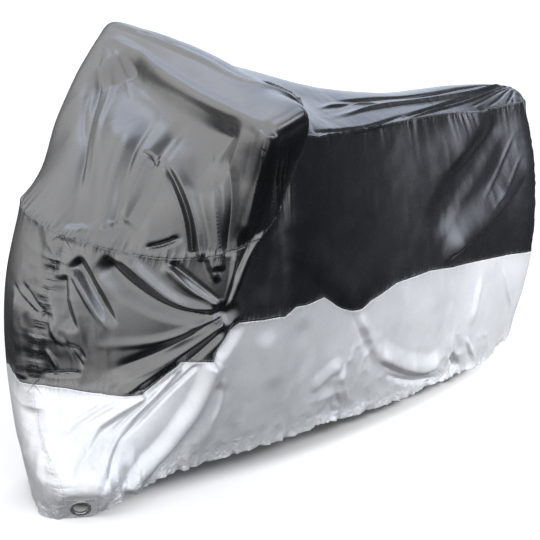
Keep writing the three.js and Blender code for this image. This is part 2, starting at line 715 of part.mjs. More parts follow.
// A panel: its cells given a thickness, and drawn back from its seams by half the gap
function panelSolid(panel, thickness) {
  const rings = skin.cells.filter((cell) => cell.panel === panel).map((cell) => cell.ring);
  const triangles = [];
  for (const [a, b, c, d] of rings) {
    if (d === undefined) {
      triangles.push([a, b, c]);
      continue;
    }
    const short = size(sub(skin.points[a], skin.points[c])) <= size(sub(skin.points[b], skin.points[d]));
    if (short) triangles.push([a, b, c], [a, c, d]);
    else triangles.push([a, b, d], [b, c, d]);
  }
  const directed = new Set(triangles.flatMap(([a, b, c]) => [`${a},${b}`, `${b},${c}`, `${c},${a}`]));
  const next = new Map();
  const previous = new Map();
  for (const key of directed) {
    const [a, b] = key.split(',').map(Number);
    if (directed.has(`${b},${a}`)) continue;
    next.set(a, b);
    previous.set(b, a);
  }
  const order = [...new Set(triangles.flat())];
  const local = new Map(order.map((id, i) => [id, i]));
  const outer = [];
  const inner = [];
  for (const id of order) {
    let point = skin.points[id];
    if (next.has(id)) {
      const into = (from, to) =>
        unit(cross(normals[id], sub(skin.points[to], skin.points[from])));
      const one = into(previous.get(id), id);
      const two = into(id, next.get(id));
      const both = unit(add(one, two));
      point = add(point, both, SEAM_GAP / 2 / Math.max(0.5, dot(one, both)));
    }
    const depth = hemIds.has(id) ? Math.max(HEM, thickness) : thickness;
    outer.push(point);
    inner.push(add(point, normals[id], -depth));
  }
  const count = order.length;
  const index = [];
  for (const triangle of triangles) {
    const [a, b, c] = triangle.map((id) => local.get(id));
    index.push(a, b, c, count + a, count + c, count + b);
  }
  for (const [from, to] of next) {
    const a = local.get(from);
    const b = local.get(to);
    index.push(b, a, count + a, b, count + a, count + b);
  }
  return { vertices: [...outer, ...inner].flat(), index };
}

function toGeometry({ vertices, index }) {
  const geometry = new THREE.BufferGeometry();
  geometry.setAttribute('position', new THREE.Float32BufferAttribute(vertices, 3));
  geometry.setIndex(index);
  geometry.computeVertexNormals();
  return geometry;
}

function toManifold({ vertices, index }) {
  return new wasm.Manifold(new wasm.Mesh({
    numProp: 3,
    vertProperties: new Float32Array(vertices),
    triVerts: new Uint32Array(index),
  }));
}

// Matrix that stands Z on the ring's axis
const ringFrame = new THREE.Matrix4().compose(
  new THREE.Vector3(...RING_AT),
  new THREE.Quaternion().setFromUnitVectors(new THREE.Vector3(0, 0, 1), new THREE.Vector3(...ringAxis)),
  new THREE.Vector3(1, 1, 1),
);

// The patch with its round hole
function patchGeometry() {
  const blank = toManifold(panelSolid('eyelet_patch', PATCH.cloth));
  const radius = RING.barrel + RING.clearance;
  const rod = new THREE.CylinderGeometry(radius, radius, 60, RING.sides).rotateX(Math.PI / 2);
  rod.applyMatrix4(ringFrame);
  rod.deleteAttribute('normal');
  rod.deleteAttribute('uv');
  const merged = mergeVertices(rod);
  const drill = toManifold({
    vertices: Array.from(merged.attributes.position.array),
    index: Array.from(merged.index.array),
  });
  const mesh = blank.subtract(drill).getMesh();
  return toGeometry({ vertices: Array.from(mesh.vertProperties), index: Array.from(mesh.triVerts) });
}

// The ring: a barrel through the patch, with a rolled lip on either face
function ringGeometry() {
  const face = RING.clearance;
  const back = -PATCH.cloth - RING.clearance;
  const profile = [
    [RING.hole, back - RING.lip * 0.4],
    [RING.hole, face + RING.lip * 0.4],
    [RING.hole + 1.4, face + RING.lip],
    [RING.rim - 2, face + RING.lip],
    [RING.rim, face + RING.lip * 0.5],
    [RING.rim, face],
    [RING.barrel, face],
    [RING.barrel, back],
    [RING.rim, back],
    [RING.rim - 1, back - RING.lip],
    [RING.hole + 1.4, back - RING.lip],
    [RING.hole, back - RING.lip * 0.4],
  ].map(([radius, height]) => new THREE.Vector2(radius, height));
  const geometry = new THREE.LatheGeometry(profile.reverse(), RING.sides);
  geometry.rotateX(Math.PI / 2);
  geometry.applyMatrix4(ringFrame);
  return geometry;
}

function finish(color, roughness, metalness) {
  return new THREE.MeshStandardMaterial({ color, roughness, metalness });
}

function piece(name, geometry, material) {
  const mesh = new THREE.Mesh(geometry, material);
  mesh.name = name;
  return mesh;
}

const dark = () => finish(0x24262b, 0.42, 0);
const silver = () => finish(0xc3c6ca, 0.45, 0.35);

const cover = new THREE.Group();
cover.add(
  piece('hood', toGeometry(panelSolid('hood', CLOTH)), dark()),
  piece('top_panel', toGeometry(panelSolid('top_panel', CLOTH)), dark()),
  piece('side_left', toGeometry(panelSolid('side_left', CLOTH)), dark()),
  piece('side_right', toGeometry(panelSolid('side_right', CLOTH)), dark()),
  piece('skirt_left', toGeometry(panelSolid('skirt_left', CLOTH)), silver()),
  piece('skirt_right', toGeometry(panelSolid('skirt_right', CLOTH)), silver()),
  piece('eyelet_patch', patchGeometry(), silver()),
  piece('eyelet', ringGeometry(), finish(0x9a9ca0, 0.3, 1)),
);
cover.position.set(...SUPPORT.map((value) => -value));

const root = new THREE.Group();
root.add(cover);

export default root;
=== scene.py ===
"""A draped two-tone weather cover, dressed for rendering.

The cover is one skin of thin coated cloth, cut into panels along its seams. Each panel
is computed on a parameter grid: splines run through named stations round the cover, and
folds, seam puckers and hem gathers push the skin along its own outward direction.
Table sizes are millimetres, counted from the ground under the middle of the cover;
the scene itself is in metres, counted from the support point under the top.
"""

import json
import logging
import math
from dataclasses import dataclass, field
from enum import Enum
from typing import NamedTuple

import bpy
import numpy as np
from mathutils import Matrix, Vector

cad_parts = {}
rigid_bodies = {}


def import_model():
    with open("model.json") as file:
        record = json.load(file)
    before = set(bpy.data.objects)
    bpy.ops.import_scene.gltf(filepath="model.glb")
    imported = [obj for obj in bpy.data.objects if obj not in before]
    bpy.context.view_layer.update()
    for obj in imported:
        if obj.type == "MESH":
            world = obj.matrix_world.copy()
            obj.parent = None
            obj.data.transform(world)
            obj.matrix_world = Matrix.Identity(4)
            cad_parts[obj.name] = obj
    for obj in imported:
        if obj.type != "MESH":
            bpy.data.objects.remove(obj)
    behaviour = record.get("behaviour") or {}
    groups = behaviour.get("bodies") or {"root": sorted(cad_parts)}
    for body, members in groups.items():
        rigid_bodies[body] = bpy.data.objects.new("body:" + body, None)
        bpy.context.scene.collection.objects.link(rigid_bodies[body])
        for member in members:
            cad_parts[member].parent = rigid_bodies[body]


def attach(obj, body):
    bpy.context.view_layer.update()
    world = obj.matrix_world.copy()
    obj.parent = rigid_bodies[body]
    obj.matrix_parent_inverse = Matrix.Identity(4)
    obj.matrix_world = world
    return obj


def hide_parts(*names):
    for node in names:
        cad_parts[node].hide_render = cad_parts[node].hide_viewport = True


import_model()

LOG = logging.getLogger("weather_cover")

Array = np.ndarray
Point = tuple[float, float, float]

MM = 0.001

# Grid cells for each cell of the stations' table.
FINENESS = 10
# Cells of that table below and above the colour seam.
LOW_ROWS, HIGH_ROWS = 8, 9
# Cells of that table over the face, the bar and the back of the hood.
HOOD_ROWS = (12, 4, 4)
# Point of support under the top, in mm: the origin of the scene.
SUPPORT: Point = (-430.0, -15.0, 986.0)
# Rise of the middle of the tail, in mm.
TAIL_CROWN = 35.0
# Rise in mm that moves the colour seam one point further up a column's spline.
RIDE_SCALE = 150.0
# Half width in mm up to which the side of a fold falls sharply. It is smooth from twice that.
SHARP_SIDE = 22.0
# Power of the sharp fall.
SHARPNESS = 1.6
# How steeply the creases of crushed cloth grow towards the middle of the place.
CRUSH_STEEPNESS = 1.5
# Size and height of its fine creases, as a share of the coarse ones.
FINE_CREASES = 0.45
# How much taller than wide its creases are.
CRUSH_STRETCH = 1.6
# Cells after which random values repeat.
NOISE_CELLS = 32
# Setting of a Map Range node that eases from 0 to 1.
EASED = {"interpolation_type": "SMOOTHSTEP"}


class Station(NamedTuple):
    """One upright line of the sides, from the shoulder down to the hem.

    shoulder, seam and hem are points in mm; swell bows the cloth outward above and
    below the colour seam; cells is the number of grid cells to the next station.
    """

    name: str
    shoulder: Point
    seam: Point
    hem: Point
    swell: tuple[float, float]
    cells: int


class BarLine(NamedTuple):
    """One line over the hood, from its face across its raised bar to its rear seam."""

    name: str
    face: Point
    bar_front: Point
    bar_rear: Point
    seam: Point


class Ride(NamedTuple):
    """How far the colour seam rides up (mm) at a place counted in stations."""

    at: float
    rise: float


class Fold(NamedTuple):
    """One fold of the cloth, along a run of points in mm.

    depth is outward at both ends of the run, left and right are half widths beside it,
    grow scales them at its end, crown is the radius of the crest, and fade is the
    share of the run over which each end dies away.
    """

    name: str
    points: tuple[Point, ...]
    depth: tuple[float, float]
    left: float
    right: float
    grow: float = 1.0
    crown: float = 1.5
    fade: tuple[float, float] = (0.3, 0.3)


class Crush(NamedTuple):
    """A place where the cloth is crumpled.

    Attributes:
        name: What crumples it.
        at: Middle, in millimetres from the ground point.
        reach: Distance over which the creases die away, in millimetres.
        height: Half height of the creases, in millimetres.
        wave: Size of the creases, in millimetres.
        seed: Chooses the creases.
    """

    name: str
    at: Point
    reach: float
    height: float
    wave: float
    seed: int


STATIONS = (
    Station("cornerL", (415, 310, 745), (380, 310, 455), (360, 243, 60), (0, 10), 4),
    Station("flankL", (515, 310, 675), (530, 285, 430), (520, 215, 55), (0, 10), 5),
    Station("cheekL", (620, 250, 645), (690, 230, 340), (700, 200, 47), (0, 12), 6),
    Station("browL", (785, 130, 660), (860, 120, 290), (885, 198, 34), (10, 25), 6),
    Station("nose", (895, 20, 705), (965, -30, 295), (1000, 145, 10), (30, 25), 6),
    Station("limb", (875, -205, 755), (952, -185, 325), (960, -70, 12), (20, 10), 4),
    Station("browR", (740, -300, 775), (820, -290, 360), (780, -220, 20), (20, 20), 3),
    Station("cheekR", (600, -340, 800), (620, -350, 400), (600, -280, 40), (0, 20), 4),
    Station("cornerR", (400, -360, 880), (420, -370, 430), (400, -300, 50), (0, 20), 4),
    Station("hipR", (330, -345, 1090), (320, -370, 430), (300, -310, 50), (0, 20), 3),
    Station("loinR", (220, -280, 1090), (200, -365, 430), (180, -310, 50), (0, 20), 4),
    Station("kneeR", (0, -230, 1005), (0, -340, 440), (0, -310, 60), (20, 20), 7),
    Station("seatR", (-400, -200, 960), (-380, -310, 450), (-380, -280, 70), (20, 20), 7),
    Station("rumpR", (-780, -160, 965), (-780, -250, 450), (-760, -220, 100), (20, 20), 5),
    Station("tailR", (-1000, -100, 955), (-1030, -120, 430), (-980, -100, 150), (30, 10), 30),
    Station("tailL", (-1040, 90, 942), (-1045, 160, 405), (-1010, 105, 132), (28, 10), 5),
    Station("rumpL", (-800, 120, 925), (-835, 200, 420), (-790, 195, 70), (10, 10), 7),
    Station("seatL", (-440, 165, 933), (-450, 250, 442), (-440, 225, 55), (10, 10), 7),
    Station("kneeL", (0, 220, 926), (-10, 285, 425), (-40, 250, 55), (10, 10), 4),
    Station("loinL", (250, 300, 935), (180, 300, 440), (140, 250, 68), (0, 10), 3),
    Station("hipL", (385, 345, 940), (290, 305, 455), (260, 248, 60), (0, 10), 4),
)

BAR = (
    BarLine("tipL", (525, 365, 830), (540, 400, 983), (410, 400, 1022), (345, 335, 1020)),
    BarLine("gripL", (590, 270, 840), (530, 260, 1016), (405, 260, 1065), (315, 295, 1030)),
    BarLine("yokeL", (680, 150, 870), (515, 130, 1054), (400, 130, 1105), (300, 160, 1050)),
    BarLine("yoke", (730, 10, 900), (500, 0, 1090), (395, 0, 1143), (290, 20, 1092)),
    BarLine("yokeR", (710, -150, 940), (485, -130, 1124), (395, -130, 1172), (290, -120, 1125)),
    BarLine("gripR", (700, -305, 915), (470, -260, 1153), (400, -260, 1197), (300, -250, 1135)),
    BarLine("tipR", (605, -370, 950), (465, -385, 1178), (420, -395, 1213), (310, -310, 1130)),
)

RIDGE: tuple[Point, ...] = (
    (290, 20, 1092),
    (200, -60, 1092),
    (-30, -40, 1036),
    (-430, -15, 988),
    (-800, -10, 994),
    (-1035, 0, 988),
)

SEAM_RIDE = (
    Ride(0, -3), Ride(0.5, 8), Ride(0.8, 24), Ride(1, 34), Ride(1.15, 8),
    Ride(1.4, -35), Ride(1.62, -10), Ride(2, 28), Ride(2.2, 12), Ride(2.5, -21),
    Ride(2.75, -10), Ride(3, 4), Ride(3.5, 15), Ride(3.85, 13), Ride(4.35, -2),
    Ride(4.8, 9), Ride(5, 0), Ride(14, 0), Ride(15, -5), Ride(16, 0),
    Ride(17, 2), Ride(17.3, 12), Ride(17.7, 15), Ride(18, -2), Ride(18.25, -19),
    Ride(18.5, -18), Ride(18.75, -8), Ride(19, 9), Ride(19.3, 19), Ride(19.7, 11),
    Ride(20, 7), Ride(20.5, 10), Ride(21, -3),
)

FOLDS = (
    Fold("bar hollow", ((505, -270, 1130), (570, -60, 1055), (590, 150, 985), (560, 310, 930)),
        (-44, -52), 60, 150, 1, 14, (0.15, 0.1)),
    Fold("bar under", ((475, -320, 1160), (505, -185, 1120), (530, -50, 1080), (545, 150, 1025),
        (550, 310, 980)), (-6, -8), 9, 50, 1, 1.8, (0.25, 0.12)),
    Fold("bar front edge", ((465, -345, 1175), (475, -215, 1140), (500, -90, 1110),
        (525, 125, 1050), (530, 265, 1015), (540, 400, 985)), (7, 9), 22, 26, 1, 6, (0.1, 0.06)),
    Fold("bar rear edge", ((420, -395, 1210), (415, -235, 1185), (425, 10, 1135),
        (405, 235, 1070), (320, 295, 1030)), (7, 7), 12, 18, 1, 3, (0.1, 0.06)),
    Fold("bar end edge", ((535, 405, 980), (485, 415, 1000), (425, 410, 1020)),
        (8, 8), 20, 20, 1, 3, (0.1, 0.1)),
    Fold("far flank hollow", ((510, -320, 1135), (660, -180, 990), (760, -70, 885),
        (865, 45, 710)), (-10, -16), 75, 50, 1.2, 8, (0.35, 0.05)),
    Fold("far edge pleat", ((570, -290, 1075), (635, -235, 1010), (755, -95, 895)),
        (-8, -4), 14, 14, 1, 1.8),
    Fold("far corner slit", ((465, -355, 1175), (535, -300, 1110), (635, -205, 1015),
        (755, -90, 900), (865, 25, 735)), (-8, -12), 12, 16, 1.2, 1.2),
    Fold("far corner crest", ((475, -330, 1165), (555, -240, 1085), (660, -140, 990),
        (765, -30, 880), (845, 55, 725)), (5, 8), 14, 26, 1.2, 1.8),
    Fold("apex streak", ((475, -315, 1160), (540, -195, 1090), (605, -90, 1030)),
        (5, 2), 8, 10, 1, 1.2),
    Fold("far pleat rise", ((595, -50, 1035), (715, 30, 910), (825, 80, 715)),
        (6, 9), 25, 30, 1, 6, (0.5, 0.05)),
    Fold("far pleat fall", ((570, -20, 1045), (680, 50, 935), (800, 100, 720)),
        (-10, -12), 22, 25, 1, 3, (0.5, 0.05)),
    Fold("knee drop top", ((585, 85, 1015), (625, 105, 965), (665, 120, 910)),
        (-12, -14), 40, 32, 1, 1.8, (0.5, 0)),
    Fold("knee drop low", ((690, 125, 875), (730, 130, 805), (775, 115, 730)),
        (-14, -10), 45, 30, 1, 1.8, (0, 0.1)),
    Fold("hook", ((690, 80, 910), (680, 105, 905), (685, 135, 875)), (-9, -9), 8, 8, 1, 1.2),
    Fold("arc slit", ((670, 135, 900), (665, 195, 830), (650, 225, 740), (645, 235, 655)),
        (-12, -20), 12, 16, 1, 1.2, (0.2, 0.03)),
    Fold("arc crest", ((665, 150, 895), (655, 205, 825), (640, 235, 735), (630, 245, 630)),
        (8, 16), 30, 12, 1, 1.8, (0.3, 0.1)),
    Fold("wedge", ((750, 155, 670), (705, 190, 680), (665, 220, 700)),
        (-10, -14), 14, 12, 1, 1.2),
    Fold("lobe crest", ((570, 200, 985), (600, 270, 795), (585, 275, 605)),
        (6, 14), 16, 50, 0.8, 3, (0.6, 0.05)),
    Fold("lobe slit", ((560, 260, 965), (575, 300, 795), (570, 280, 645)),
        (-8, -12), 30, 18, 0.8, 3, (0.5, 0.05)),
    Fold("lobe end", ((615, 255, 665), (605, 265, 610), (590, 270, 575)),
        (8, 12), 16, 20, 0.8, 3),
    Fold("near corner crest", ((540, 405, 975), (540, 375, 890), (540, 340, 785),
        (535, 305, 675)), (14, 14), 24, 40, 1, 2.4, (0.02, 0.2)),
    Fold("hip pleat a", ((525, 415, 970), (485, 375, 860), (420, 320, 765)),
        (-5, -3), 8, 8, 0.7, 1.2, (0.1, 0.4)),
    Fold("hip pleat b", ((505, 415, 965), (465, 375, 865), (420, 325, 780)),
        (-5, -3), 7, 7, 0.7, 1.2, (0.1, 0.4)),
    Fold("hip pleat c", ((485, 415, 955), (460, 385, 885), (425, 345, 815)),
        (-4, -2), 7, 7, 0.7, 1.2, (0.1, 0.4)),
    Fold("swag crest", ((805, 115, 655), (755, 165, 590), (680, 225, 520), (580, 275, 500)),
        (18, 8), 38, 13, 0.6, 1.8, (0.15, 0.08)),
    Fold("swag hollow", ((830, 95, 660), (780, 150, 585), (710, 205, 525), (600, 270, 485)),
        (-26, -10), 12, 70, 0.5, 1.2, (0.15, 0.08)),
    Fold("swag second crest", ((710, 190, 630), (655, 235, 560), (585, 275, 510)),
        (12, 5), 12, 26, 0.5, 1.8, (0.15, 0.08)),
    Fold("swag upper hollow", ((700, 200, 635), (640, 245, 575), (580, 275, 520)),
        (-14, -5), 24, 12, 0.5, 1.8, (0.15, 0.08)),
    Fold("drop strip", ((550, 295, 660), (560, 290, 580), (575, 280, 510)),
        (8, 3), 10, 12, 0.7, 1.8, (0.2, 0.1)),
    Fold("drop line", ((465, 320, 725), (515, 310, 650), (545, 295, 565), (570, 280, 495)),
        (9, 4), 12, 10, 0.8, 1.8, (0.2, 0.1)),
    Fold("drop hollow", ((490, 330, 725), (530, 300, 640), (560, 290, 565), (575, 280, 505)),
        (-8, -4), 10, 10, 0.8, 1.8, (0.2, 0.1)),
    Fold("pinch", ((585, 275, 495), (565, 280, 490)), (-13, -13), 30, 30, 1, 8, (0, 0)),
    Fold("fan slit", ((580, 275, 475), (625, 260, 460), (680, 230, 440)),
        (-9, -3), 6, 8, 1.5, 1.2, (0.05, 0.35)),
    Fold("fan crest a", ((580, 275, 480), (730, 200, 430), (875, 100, 420)),
        (4, 6), 10, 16, 1.6, 1.8, (0.05, 0.35)),
    Fold("fan hollow", ((580, 275, 470), (755, 190, 390), (860, 105, 345)),
        (-6, -11), 9, 14, 2, 2.4, (0.05, 0.35)),
    Fold("fan crest b", ((580, 275, 465), (750, 195, 360), (860, 115, 305)),
        (5, 8), 9, 14, 2, 2.4, (0.05, 0.35)),
    Fold("fan edge", ((575, 280, 465), (705, 220, 375), (830, 150, 285)),
        (6, 16), 16, 26, 1.2, 2.4, (0.03, 0.1)),
    Fold("under fold hollow", ((570, 280, 445), (675, 240, 360), (790, 185, 270)),
        (-10, -14), 14, 24, 1.2, 2.4, (0.1, 0.15)),
    Fold("knee hollow", ((530, 290, 475), (565, 275, 410), (610, 260, 355)),
        (-14, -16), 34, 14, 1, 2.4),
    Fold("nose slit a", ((910, 45, 610), (915, 55, 545), (900, 80, 455)),
        (-17, -13), 9, 46, 1, 1.2, (0.12, 0.3)),
    Fold("nose crest", ((900, 50, 620), (875, 90, 535), (840, 125, 455)),
        (12, 6), 24, 10, 1, 1.5, (0.12, 0.3)),
    Fold("nose slit b", ((880, 55, 655), (855, 100, 575), (820, 140, 470)),
        (-20, -13), 12, 52, 0.8, 1.2, (0.12, 0.3)),
    Fold("gusset slit", ((955, -10, 340), (925, 40, 345), (890, 80, 350)),
        (-11, -11), 9, 11, 1, 1.2),
    Fold("gusset tuck a", ((955, 5, 415), (940, 25, 380), (930, 35, 350)), (6, 6), 8, 12),
    Fold("gusset tuck b", ((915, 60, 430), (895, 80, 405), (885, 85, 380)), (-7, -6), 8, 9),
    Fold("knee crest", ((950, 25, 500), (945, 30, 465), (920, 55, 420)), (7, 6), 10, 10),
    Fold("flank crease a", ((915, -15, 695), (915, 15, 645), (930, 25, 590)), (6, 5), 9, 14),
    Fold("flank crease b", ((955, -125, 565), (965, -65, 530), (955, 10, 495)), (-9, -8), 8, 12),
    Fold("gusset line", ((925, 55, 440), (900, 70, 395), (885, 85, 355)), (-6, -6), 9, 9, 1, 1.2),
    Fold("far edge", ((960, -90, 565), (970, -90, 430), (970, -90, 310)),
        (12, 12), 40, 30, 1, 1.8, (0.2, 0.05)),
    Fold("far slit", ((955, -85, 575), (960, -15, 525), (950, 25, 490)),
        (-12, -8), 10, 12, 1, 1.2),
    Fold("far swell", ((890, -55, 745), (915, -10, 675), (940, 5, 590)), (9, 9), 28, 28, 1, 10),
    Fold("tail fall", ((-855, 120, 910), (-680, 165, 800), (-465, 220, 675), (-295, 250, 570)),
        (-6, -8), 60, 60, 1, 14, (0.15, 0.2)),
    Fold("tail crest", ((-970, 165, 700), (-795, 185, 595), (-570, 230, 525), (-380, 255, 470)),
        (30, 26), 18, 130, 0.9, 6, (0.3, 0.2)),
    Fold("tail line a", ((-945, 135, 850), (-820, 160, 735), (-640, 205, 620)),
        (2, 3), 8, 9, 1, 1.2),
    Fold("tail line b", ((-970, 155, 770), (-850, 170, 670), (-675, 205, 585)),
        (2, 3), 8, 9, 1, 1.2),
    Fold("side band a", ((-835, 120, 925), (-590, 170, 820), (-320, 225, 725)),
        (20, 14), 44, 120, 1.1, 12, (0.3, 0.6)),
    Fold("side crease", ((395, 315, 690), (230, 305, 565), (55, 290, 425)),
        (5, 7), 60, 50, 1, 8, (0.5, 0.1)),
    Fold("front crest a", ((770, 195, 285), (890, 145, 215), (995, 100, 130)),
        (14, 17), 9, 44, 1.2, 1.5, (0.05, 0.15)),
    Fold("front crest b", ((675, 240, 360), (765, 200, 275), (860, 180, 195)),
        (13, 11), 8, 40, 1, 1.5, (0.1, 0.4)),
    Fold("front crest c", ((810, 165, 285), (895, 125, 235), (990, 80, 170)), (9, 10), 7, 34),
    Fold("front crest d", ((845, 135, 285), (905, 100, 245), (975, 70, 200)), (8, 8), 7, 30),
    Fold("front crest e", ((850, 185, 200), (910, 165, 150), (975, 145, 75)), (11, 9), 8, 36),
    Fold("front slit", ((640, 250, 360), (780, 200, 240), (920, 170, 120), (965, 160, 55)),
        (-11, -11), 9, 9, 1, 1.5, (0.05, 0.25)),
    Fold("front slit b", ((715, 220, 325), (820, 180, 240), (940, 150, 145)), (-6, -7), 8, 8),
    Fold("front edge", ((590, 265, 355), (625, 250, 260), (690, 225, 170), (855, 200, 45)),
        (18, 24), 34, 50, 1, 1.8, (0.05, 0.05)),
    Fold("front shade hollow", ((570, 265, 300), (635, 235, 185), (770, 205, 60)),
        (-10, -12), 60, 20, 1, 6, (0.1, 0.1)),
    Fold("chin edge", ((975, -75, 280), (965, 40, 235), (1005, 75, 140), (1015, 75, 40)),
        (9, 9), 40, 35, 1, 6, (0.15, 0.1)),
    Fold("notch crest a", ((105, 285, 260), (105, 275, 205), (60, 260, 120)), (12, 10), 12, 36),
    Fold("notch swell", ((240, 275, 190), (175, 280, 225), (105, 285, 260)),
        (9, 11), 44, 24, 1, 1.8),
    Fold("notch crest b", ((55, 290, 395), (-15, 280, 295), (-70, 270, 200)),
        (10, 10), 36, 22, 1, 1.8),
    Fold("notch valley", ((85, 295, 410), (40, 285, 335), (0, 280, 265)),
        (-6, -5), 28, 24, 1, 2.4),
    Fold("rear bulge", ((-40, 275, 245), (-220, 255, 155), (-375, 240, 120), (-460, 235, 155)),
        (18, 18), 62, 13, 1, 1.8, (0.2, 0.2)),
    Fold("rear under", ((-85, 265, 175), (-275, 245, 100), (-445, 225, 70)),
        (-12, -12), 12, 18, 1, 1.8),
    Fold("hem arch", ((-480, 235, 145), (-530, 225, 85), (-515, 225, 80)),
        (-20, -24), 20, 22, 1, 1.8, (0.3, 0)),
    Fold("arch crest c", ((-560, 235, 190), (-605, 225, 135), (-650, 215, 75)),
        (10, 9), 14, 16, 1, 1.2),
    Fold("rear edge crease", ((-795, 210, 400), (-835, 205, 310), (-900, 190, 210)),
        (7, 7), 12, 20),
    Fold("rear soft crest", ((-650, 230, 395), (-620, 235, 305), (-590, 235, 210)),
        (6, 8), 26, 30, 1, 3),
    Fold("skirt swell a", ((455, 300, 425), (415, 295, 335), (385, 280, 230)),
        (8, 6), 40, 40, 1, 8),
    Fold("skirt hollow a", ((315, 305, 435), (275, 295, 330), (285, 280, 230)),
        (-9, -6), 40, 40, 1, 8),
    Fold("skirt crease a", ((560, 265, 320), (560, 255, 235), (590, 230, 150)),
        (4, 4), 10, 14, 1, 1.2),
    Fold("seat streak", ((90, 145, 980), (-170, 65, 980), (-565, 30, 975), (-1040, 0, 985)),
        (9, 11), 9, 24, 0.7, 1.5, (0.2, 0.03)),
    Fold("seat ridge a", ((135, 200, 965), (-140, 115, 965), (-495, 70, 965), (-1010, 20, 985)),
        (-11, -13), 14, 18, 0.7, 1.5, (0.35, 0.05)),
    Fold("seat streak low", ((280, 300, 945), (75, 235, 930), (-140, 190, 930), (-360, 135, 945)),
        (7, 7), 9, 12, 1, 1.5, (0.2, 0.4)),
    Fold("seat crest b", ((-155, 190, 930), (-385, 145, 945), (-705, 70, 960), (-1025, 30, 980)),
        (12, 9), 9, 16, 0.7, 1.5, (0.35, 0.05)),
    Fold("seat slit b", ((-235, 185, 930), (-510, 130, 945), (-815, 65, 960), (-1040, 20, 980)),
        (-10, -9), 8, 14, 0.7, 1.5, (0.35, 0.05)),
    Fold("seat streak high", ((-45, 70, 990), (-310, 40, 985), (-655, 15, 985)), (5, 5), 7, 9),
    Fold("corner pleat a", ((-1035, 50, 975), (-960, 105, 945), (-925, 125, 900)), (5, 5), 7, 7),
    Fold("corner pleat b", ((-1030, 70, 960), (-1015, 110, 940), (-1015, 125, 880)),
        (6, 6), 8, 8),
    Fold("seat crest c", ((-690, 115, 935), (-850, 75, 955), (-1015, 40, 975)),
        (6, 4), 7, 7, 0.7, 1.2, (0.35, 0.05)),
    Fold("seat crest d", ((-800, 110, 930), (-900, 85, 950), (-1020, 45, 975)),
        (6, 4), 7, 7, 0.7, 1.2, (0.35, 0.05)),
    Fold("seat crest e", ((-885, 120, 920), (-950, 95, 945), (-1025, 60, 970)),
        (6, 4), 7, 7, 0.7, 1.2, (0.35, 0.05)),
    Fold("saddle dip", ((95, 140, 985), (-75, 80, 980), (-355, 85, 965)),
        (-7, -4), 14, 14, 1, 1.8),
    Fold("crest slit far", ((420, -285, 1195), (415, -180, 1180), (415, -75, 1155)),
        (-8, -8), 8, 8, 1, 1.2),
    Fold("crest slit near", ((235, 45, 1070), (165, 60, 1040), (105, 85, 1010)),
        (-9, -9), 8, 8, 1, 1.2),
)

CRUSHED = (
    Crush("under the notch", (48, 271, 177), 230, 12, 64, 41),
    Crush("rear arch", (-471, 231, 116), 160, 10, 52, 43),
    Crush("rear hem", (-668, 219, 106), 130, 6, 50, 45),
    Crush("under the bulge", (-200, 255, 135), 170, 5, 56, 47),
    Crush("middle hem", (260, 256, 104), 190, 4, 50, 49),
    Crush("front hem", (540, 228, 85), 210, 4, 50, 51),
    Crush("chin", (896, 195, 33), 190, 6, 50, 53),
    Crush("nose hem", (1016, 57, 80), 150, 6, 54, 55),
    Crush("front gusset", (914, 60, 405), 160, 5, 56, 57),
    Crush("far flank", (956, -7, 538), 180, 5, 60, 59),
)


def linear(channel: float) -> float:
    """Turn one sRGB channel into linear light.

    Args:
        channel: Value from 0 to 1 as a screen shows it.

    Returns:
        The same value in linear light.
    """
    if channel <= 0.04045:
        return channel / 12.92
    return ((channel + 0.055) / 1.055) ** 2.4


def colour(code: str) -> tuple[float, float, float, float]:
    """Turn a hex colour such as #aabbcc into linear RGBA.

    Args:
        code: Six hex digits after a hash sign.

    Returns:
        Linear red, green, blue and an alpha of 1.
    """
    parts = [int(code[i : i + 2], 16) / 255 for i in (1, 3, 5)]
    red, green, blue = (linear(part) for part in parts)
    return red, green, blue, 1.0


def ease(share: Array) -> Array:
    """Smooth step from 0 to 1.

    Args:
        share: Values, of which those outside 0 to 1 are clipped.

    Returns:
        3 s^2 - 2 s^3 of the clipped values.
    """
    s = np.clip(share, 0.0, 1.0)
    return s * s * (3.0 - 2.0 * s)


def unit(vectors: Array) -> Array:
    """Scale vectors to length one along the last axis."""
    return vectors / np.maximum(np.linalg.norm(vectors, axis=-1, keepdims=True), 1e-12)


def grid_cells(ids: Array, across_first: bool = False) -> Array:
    """Corner indices of the cells of a grid.

    Args:
        ids: Vertex of each grid point, rows by columns.
        across_first: Whether the corners run along the row first, which turns the
            cells over.

    Returns:
        Four corners for each cell, on the last axis.
    """
    corners = [ids[:-1, :-1], ids[1:, :-1], ids[1:, 1:], ids[:-1, 1:]]
    if across_first:
        corners = corners[:1] + corners[:0:-1]
    return np.stack(corners, axis=2)


def grid_ids(place: Array) -> Array:
    """Number the points of a grid, row by row."""
    return np.arange(place.shape[0] * place.shape[1]).reshape(place.shape[:2])


def smooth_mesh(
    name: str, place: Array, faces: list[list[int]], finish: bpy.types.Material
) -> bpy.types.Mesh:
    """Make a smooth mesh of one material.

    Args:
        name: Name of the mesh.
        place: Vertices in metres, in the frame of the scene.
        faces: Corner indices of each face.
        finish: The material.

    Returns:
        The mesh.
    """
    mesh = bpy.data.meshes.new(name)
    mesh.from_pydata(place.tolist(), [], faces)
    mesh.polygons.foreach_set("use_smooth", np.ones(len(mesh.polygons), bool))
    mesh.materials.append(finish)
    return mesh


def riding_piece(name: str, mesh: bpy.types.Mesh) -> bpy.types.Object:
    """Put a mesh into the scene as a piece that rides on the cover.

    Args:
        name: Name of the piece.
        mesh: Its mesh.

    Returns:
        The object.
    """
    mesh.update()
    piece = bpy.data.objects.new(name, mesh)
    bpy.context.scene.collection.objects.link(piece)
    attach(piece, "root")
    LOG.info("%s: %d cells", name, len(mesh.polygons))
    return piece


